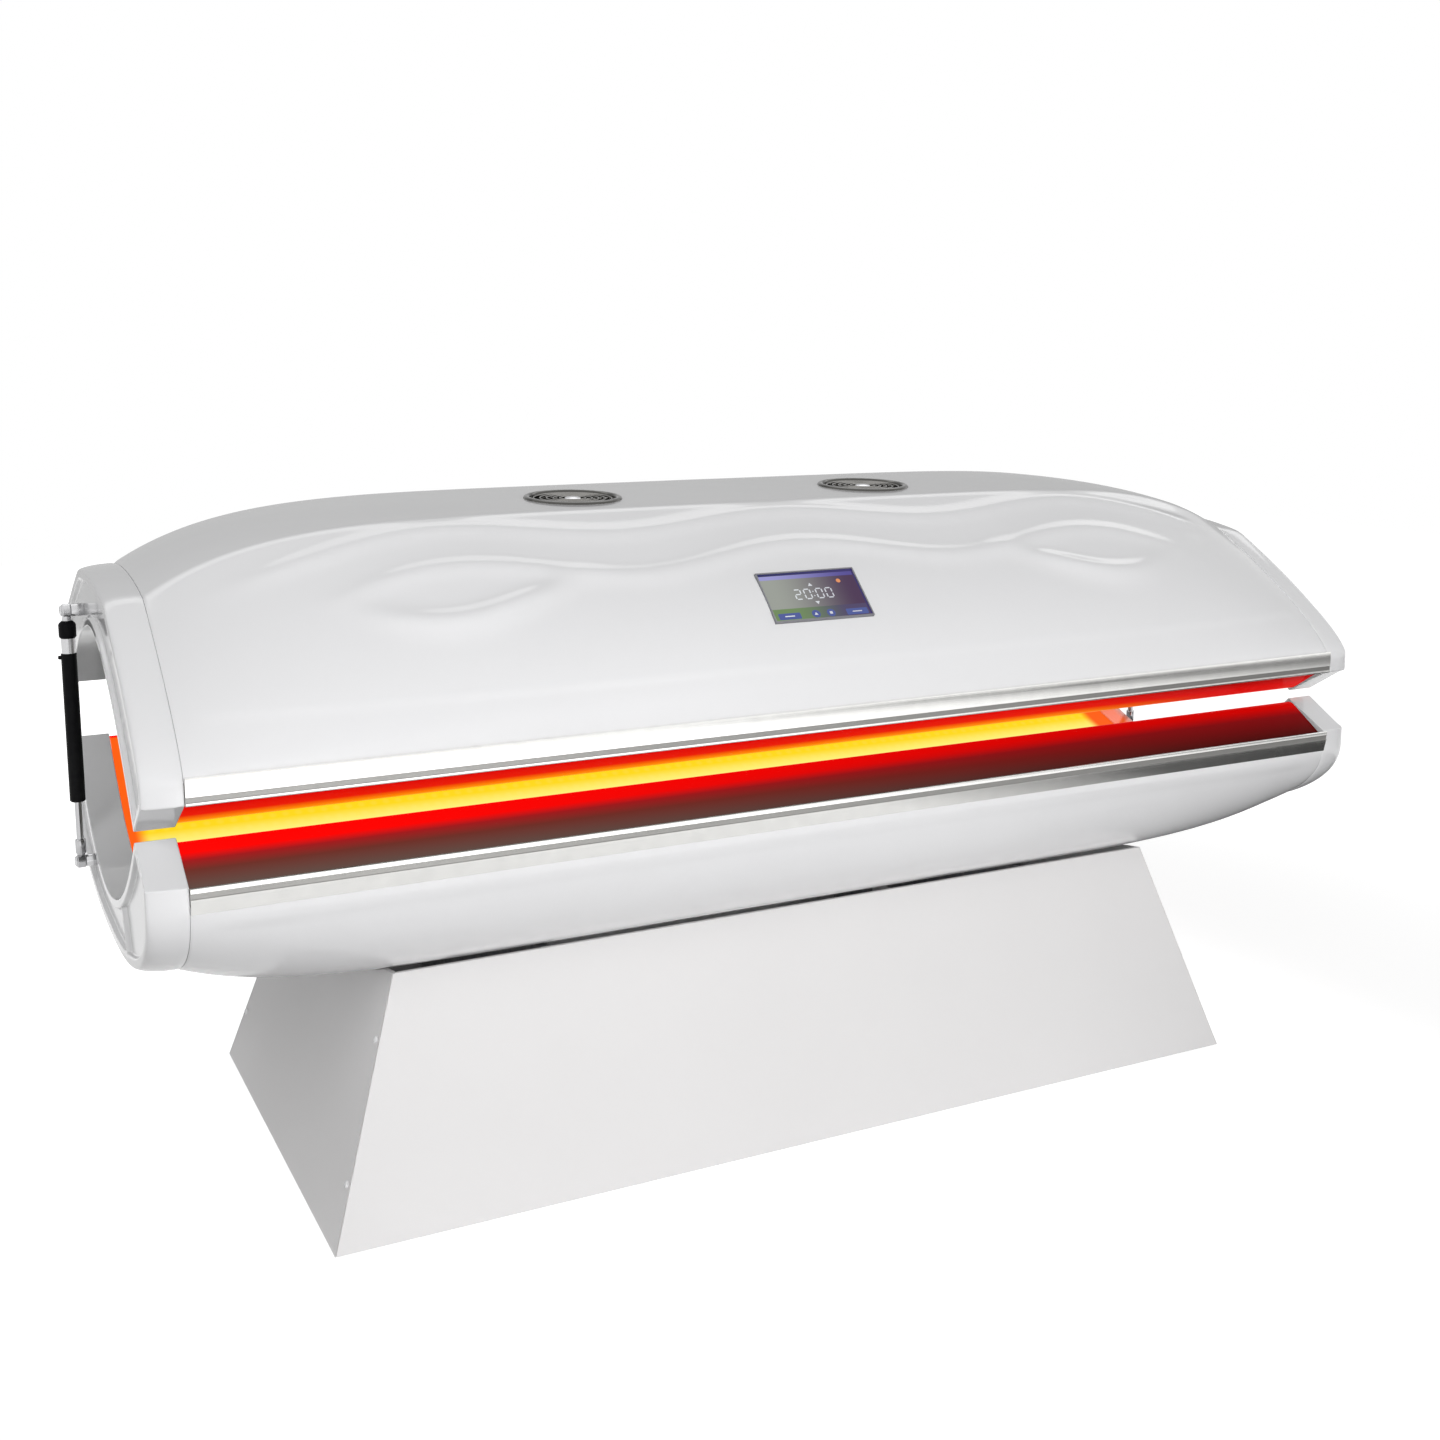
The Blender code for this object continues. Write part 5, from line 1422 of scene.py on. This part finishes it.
def screen_light(name, low, high, axis="X", reach=0.08):
    """A glossy display finish that fades from one colour to another along one axis of the screen."""
    plain = {"Roughness": 0.06, "Emission_Strength": SCREEN_LIGHT, "Specular_IOR_Level": 0.2}
    made, tree, inputs = start_finish(name, **plain)
    inputs["Base Color"].default_value = GLASS_BLACK
    parts = add_node(tree, "SeparateXYZ", {0: add_node(tree, "TexCoord").outputs["Object"]}).outputs
    share = spread(tree, parts[axis], -reach, reach)
    tree.links.new(mix_colours(tree, share, low, high), inputs["Emission Color"])
    return made


print("display recipe ready")

# %% Seven display finishes
# The page, both bars and the symbols fade from light at the left to dark at the right, which paints a glare
# on the left of the glass into their glow.
page_and_glare_light = screen_light("screen_page", (0.34, 0.36, 0.32), (0.06, 0.022, 0.075), reach=0.07)
edge_light = screen_light("screen_edge", (0.012, 0.012, 0.10), (0.03, 0.02, 0.14))
bar_light = screen_light("screen_bar", (0.34, 0.33, 0.68), (0.08, 0.06, 0.30))
lower_light = screen_light("screen_lower", (0.16, 0.26, 0.10), (0.07, 0.05, 0.13), reach=0.05)
button_light = screen_light("screen_button", (0.07, 0.10, 0.33), (0.14, 0.16, 0.45), axis="Y", reach=0.04)
symbol_light = screen_light("screen_symbol", (0.80, 0.85, 0.86), (0.62, 0.62, 0.70))
alert_light = screen_light("screen_alert", (0.80, 0.26, 0.10), (0.85, 0.32, 0.12))
print("seven display finishes")

# %% Glass of the screen
GLASS_TOP, GLASS_THICK, GLASS_CORNER = 0.001, 0.010, 0.0015
screen_frame = hood_frame(*SCREEN_PLACE)
glass = rounded_box(0, 0, *(side - 2 * GAP for side in SCREEN_SIZE), GLASS_CORNER)
bm = bmesh.new()
plate(bm, glass, GLASS_TOP - GLASS_THICK, GLASS_TOP)
new_piece("screen_glass", bm, page_and_glare_light, "canopy", "screen_panel", screen_frame)
print("screen", SCREEN_SIZE)

# %% [markdown]
# The running time is drawn like a seven bar display. Each bar has a letter, and for each letter the table
# below gives its column and row in half widths and half heights of the digit, and 1 if the bar is upright.
# Bars, buttons and marks lie in three thin layers, so that none of them flickers through another.

# %% Layers of the page
LAYER_START, LAYER_STEP, LAYER_THICK = 0.00002, 0.00012, 0.0001


def page_piece(name, outlines, finish, level):
    """Thin plates on the glass. level is how many layers up they lie."""
    bm = bmesh.new()
    low = GLASS_TOP + LAYER_START + level * LAYER_STEP
    for outline in outlines:
        plate(bm, outline, low, low + LAYER_THICK)
    new_piece(name, bm, finish, "canopy", (), screen_frame)


print("layer recipe ready")

# %% Marks of the page
SEGMENTS = {"0": "abcdef", "2": "abdeg"}
BAR_PLACES = {"a": (0, 1, 0), "b": (1, 0.5, 1), "c": (1, -0.5, 1), "d": (0, -1, 0)}
BAR_PLACES |= {"e": (-1, -0.5, 1), "f": (-1, 0.5, 1), "g": (0, 0, 0)}
BAR_SHORT, BAR_CORNER, ARROW_FOOT = 1.1, 0.4, 0.6


def digit_bars(letter, x, y, width, height, thick):
    bars = []
    for name in SEGMENTS[letter]:
        column, row, upright = BAR_PLACES[name]
        short = thick * BAR_SHORT
        size = (thick, height / 2 - short) if upright else (width - short, thick)
        bars.append(rounded_box(x + column * width / 2, y + row * height / 2, *size, thick * BAR_CORNER, 2))
    return bars


def disc(x, y, radius, sides=24):
    return [(x + px, y + py) for px, py in circle(radius, sides)]


def triangle(x, y, size, way):
    foot = y - way * size * ARROW_FOOT
    return [(x - size, foot), (x + size, foot), (x, y + way * size)][::way]


print("mark helpers ready")

# %% Bars and buttons
wide, tall = SCREEN_SIZE[0] / 2, SCREEN_SIZE[1] / 2
BORDER, CORNER = 0.0006, 0.0006
PAGE_X, BUTTON_ROW, BUTTON_X, KNOB_X = -0.0015, -tall + 0.0072, 0.0560, 0.0125
full = 2 * wide - 2 * BORDER
bar = full - 0.0030
right_edge = rounded_box(wide - 0.0019, 0, 0.0026, 2 * tall - 2 * BORDER, CORNER)
page_piece("screen_edge", [rounded_box(0, tall - 0.0027, full, 0.0044, CORNER), right_edge], edge_light, 0)
page_piece("screen_top_bar", [rounded_box(PAGE_X, tall - 0.0086, bar, 0.0070, CORNER)], bar_light, 0)
page_piece("screen_lower_bar", [rounded_box(PAGE_X, -tall + 0.0108, bar, 0.0200, CORNER)], lower_light, 0)
buttons = [rounded_box(x, BUTTON_ROW, 0.0360, 0.0110, 0.0020) for x in (-BUTTON_X, BUTTON_X)]
buttons += [disc(x, BUTTON_ROW + 0.001, 0.0068, 32) for x in (-KNOB_X, KNOB_X)]
page_piece("screen_buttons", buttons, button_light, 1)
print(len(buttons), "buttons")

# %% Running time and symbols
DIGIT_X, DIGIT_Y, DIGIT_SIZE = (-0.0275, -0.0115, 0.0085, 0.0245), 0.0015, (0.0100, 0.0175, 0.0020)
symbols = []
for letter, x in zip("2000", DIGIT_X):
    symbols += digit_bars(letter, x, DIGIT_Y, *DIGIT_SIZE)
symbols += [disc(PAGE_X, 0.0055, 0.0010), disc(PAGE_X, -0.0025, 0.0010)]
symbols += [triangle(PAGE_X, 0.0180, 0.0036, 1), triangle(PAGE_X, -0.0150, 0.0036, -1)]
symbols += [rounded_box(x, BUTTON_ROW, 0.0160, 0.0018, CORNER, 2) for x in (-BUTTON_X, BUTTON_X)]
symbols.append(triangle(-KNOB_X, BUTTON_ROW + 0.0008, 0.0030, 1))
symbols.append(rounded_box(KNOB_X, BUTTON_ROW + 0.001, 0.0046, 0.0046, 0.0008, 2))
page_piece("screen_symbols", symbols, symbol_light, 2)
page_piece("screen_alert", [disc(0.0480, tall - 0.0215, 0.0036)], alert_light, 2)
print(len(symbols), "marks")

# %% [markdown]
# ## Feet
#
# The bed stands on four levelling feet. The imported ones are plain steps, which is enough for contact and
# weight. A bevel modifier could ease them, but their edges differ, so each foot is turned again from one
# profile, with more sides and softer edges, at the same place and in the same size.

# %% Feet
FOOT_X, RAIL_Y = 0.600, 0.270
foot_profile = [(0, 0.020), (0.0115, 0.020), (0.0120, 0.0195), (0.0120, 0.0115), (0.0135, 0.0102)]
foot_profile += [(0.0215, 0.0096), (0.0236, 0.0082), (0.0240, 0.0060), (0.0240, 0.0010), (0.0232, 0), (0, 0)]
for side, word in ((-1, "front"), (1, "rear")):
    for end, end_word in ((-1, "left"), (1, "right")):
        bm = bmesh.new()
        turned(bm, foot_profile, Matrix.Translation((end * FOOT_X, side * RAIL_Y, 0)), sides=48)
        name = f"{word}_{end_word}"
        new_piece(f"level_foot_{name}", bm, foot_rubber, "base", f"foot_{name}")
print("four feet")

# %% [markdown]
# ## Hinges
#
# Two butt hinges at the rear carry the canopy. A leaf is a plate with knuckles, and the knuckles of two
# leaves share one pin. Each leaf is a piece of its own that rides on its own half, so that the knuckles turn
# around the pin when the canopy opens. Flat screws in the leaves are drawn too, as they show from behind.

# %% Knuckles and screws of a hinge
HINGE_X, HINGE_WIDTH, HINGE_Y, HINGE_Z = 0.55, 0.09, 0.4233, 0.63055
BARREL, PIN = 0.011, 0.005


def flat_screw(bm, place, radius):
    """A flat screw head with a round recess in it, drawn along +Z."""
    edge = [(radius, -0.0006), (radius, 0.0), (radius * 0.94, 0.0003), (radius * 0.5, 0.0003)]
    turned(bm, [*edge, (radius * 0.42, -0.0008), (0, -0.0008)], place, sides=24)


def knuckle(bm, x0, x1):
    soft = 0.0006
    profile = [(PIN + GAP, 0), (BARREL - soft, 0), (BARREL, soft), (BARREL, x1 - x0 - soft)]
    profile += [(BARREL - soft, x1 - x0), (PIN + GAP, x1 - x0), (PIN + GAP, 0)]
    turned(bm, profile, along_x(x0, HINGE_Y, HINGE_Z), sides=48)


print("hinge barrel", 2 * BARREL, "m thick")

# %% Recipe for a leaf
LEAF, LEAF_CORNER, LEAF_GAP, BRIDGE = 0.006, 0.004, 0.0012, BARREL * 0.8
LEAF_SCREW, LEAF_SCREW_X, LEAF_SCREW_SHARES = 0.0042, (-0.030, 0.0, 0.030), (0.28, 0.72)


def leaf_piece(name, x, far, spans, body, stands_for):
    """A plate with knuckles on the hinge's axis. spans are the knuckles' ends along X."""
    bm = bmesh.new()
    near = HINGE_Z + math.copysign(BARREL + LEAF_GAP, far - HINGE_Z)
    foot = HINGE_Z + math.copysign(BRIDGE, far - HINGE_Z)
    low, high = sorted((far, near))
    half_leaf = LEAF / 2
    flat = rounded_box(0, (low + high) / 2, HINGE_WIDTH, high - low, LEAF_CORNER)
    stand = Matrix.Translation((x, HINGE_Y + half_leaf, 0)) @ Matrix.Rotation(math.pi / 2, 4, "X")
    plate(bm, flat, 0, LEAF)
    bmesh.ops.transform(bm, matrix=stand, verts=bm.verts)
    for start, end in spans:
        knuckle(bm, x + start, x + end)
        bridge = [(HINGE_Y - half_leaf, near), (HINGE_Y + half_leaf, near)]
        bridge += [(HINGE_Y + half_leaf, foot), (HINGE_Y - half_leaf, foot)]
        prism(bm, bridge, x + start, x + end)
    bmesh.ops.remove_doubles(bm, verts=bm.verts, dist=SAME_SPOT / 10)
    for across in LEAF_SCREW_X:
        for share in LEAF_SCREW_SHARES:
            at = (x + across, HINGE_Y + half_leaf, blend(low, high, share))
            flat_screw(bm, Matrix.Translation(at) @ Matrix.Rotation(-math.pi / 2, 4, "X"), LEAF_SCREW)
    new_piece(name, bm, mill_aluminium, body, stands_for)


print("leaf recipe ready")

# %% Two hinges
LEAF_FOOT, LEAF_HEAD = BELLY_EDGE - 0.014, REAR_EDGE + 0.0035
HALF_HINGE, KNUCKLE = HINGE_WIDTH / 2, HINGE_WIDTH / 6
outer = ((-HALF_HINGE, -KNUCKLE - GAP), (KNUCKLE + GAP, HALF_HINGE))
middle = ((-KNUCKLE, KNUCKLE),)
for side, word in ((-1, "left"), (1, "right")):
    x = side * HINGE_X
    leaf_piece(f"lower_leaf_{word}", x, LEAF_FOOT, outer, "base", f"hinge_base_leaf_{word}")
    leaf_piece(f"upper_leaf_{word}", x, LEAF_HEAD, middle, "canopy", f"hinge_canopy_leaf_{word}")
    end = HALF_HINGE + GAP
    pin = [(0, end + 0.0030), (0.0060, end + 0.0026), (0.0078, end + 0.0012), (0.0080, end), (PIN, end)]
    pin += [(radius, -height) for radius, height in reversed(pin)]
    bm = bmesh.new()
    turned(bm, pin, along_x(x, HINGE_Y, HINGE_Z), sides=40)
    new_piece(f"pin_{word}", bm, turned_steel, "base", f"hinge_pin_{word}")
print("two hinges")

# %% [markdown]
# ## Screws and inlet
#
# Pan head screws hold the pedestal's side panels, and the mains inlet on the rear panel has three pins. They
# are too small to matter to the plain solids, so they are added here. Each has to stand square to its panel,
# which leans, so the lean is worked out from the sizes of the pedestal at its foot and at its top.

# %% Panel screws
PEDESTAL_HEIGHT, PEDESTAL_FOOT, PEDESTAL_TOP = 0.345, (1.520, 0.738), (1.295, 0.567)
SCREW_FROM_EDGE, SCREW_HEIGHTS, SCREW_HEAD = 0.012, (0.085, 0.260), 0.0050


def pedestal_half(z):
    return [blend(low, high, z / PEDESTAL_HEIGHT) / 2 for low, high in zip(PEDESTAL_FOOT, PEDESTAL_TOP)]


side_lean = math.atan2((PEDESTAL_FOOT[0] - PEDESTAL_TOP[0]) / 2, PEDESTAL_HEIGHT)
pan_head = [(SCREW_HEAD, 0), (SCREW_HEAD, 0.0010), (0.0044, 0.0024), (0.0030, 0.0031)]
pan_head += [(0.0020, 0.0032), (0.0018, 0.0016), (0, 0.0016)]
for side, word in ((-1, "left"), (1, "right")):
    bm = bmesh.new()
    for height in SCREW_HEIGHTS:
        reach_x, reach_y = pedestal_half(height)
        for end in (-1, 1):
            at = Matrix.Translation((side * reach_x, end * (reach_y - SCREW_FROM_EDGE), height))
            lean = Matrix.Rotation(side * (math.pi / 2 - side_lean), 4, "Y")
            turned(bm, pan_head, at @ lean, sides=24)
    new_piece(f"panel_screws_{word}", bm, gloss_white, "base")
print("eight panel screws")

# %% Inlet pins
INLET_X, INLET_Z, SOCKET_X = 0.35, 0.095, 0.0125
PIN_ROWS = ((SOCKET_X - 0.007, 0.002), (SOCKET_X + 0.007, 0.002), (SOCKET_X, -0.003))
BLADE, BLADE_CORNER, BLADE_LENGTH, BLADE_SUNK = (0.0020, 0.0040), 0.0006, 0.012, -0.010
rear_lean = math.atan2((PEDESTAL_FOOT[1] - PEDESTAL_TOP[1]) / 2, PEDESTAL_HEIGHT)
inlet_at = (INLET_X, pedestal_half(INLET_Z)[1], INLET_Z)
inlet = Matrix.Translation(inlet_at) @ Matrix.Rotation(rear_lean, 4, "X")
bm = bmesh.new()
for x, z in PIN_ROWS:
    pin_at = Matrix.Translation((x, BLADE_SUNK, z)) @ Matrix.Rotation(-math.pi / 2, 4, "X")
    before = set(bm.verts)
    plate(bm, rounded_box(0, 0, *BLADE, BLADE_CORNER), 0, BLADE_LENGTH)
    bmesh.ops.transform(bm, matrix=inlet @ pin_at, verts=[vert for vert in bm.verts if vert not in before])
new_piece("inlet_pins", bm, turned_steel, "base")
print(len(PIN_ROWS), "inlet pins")
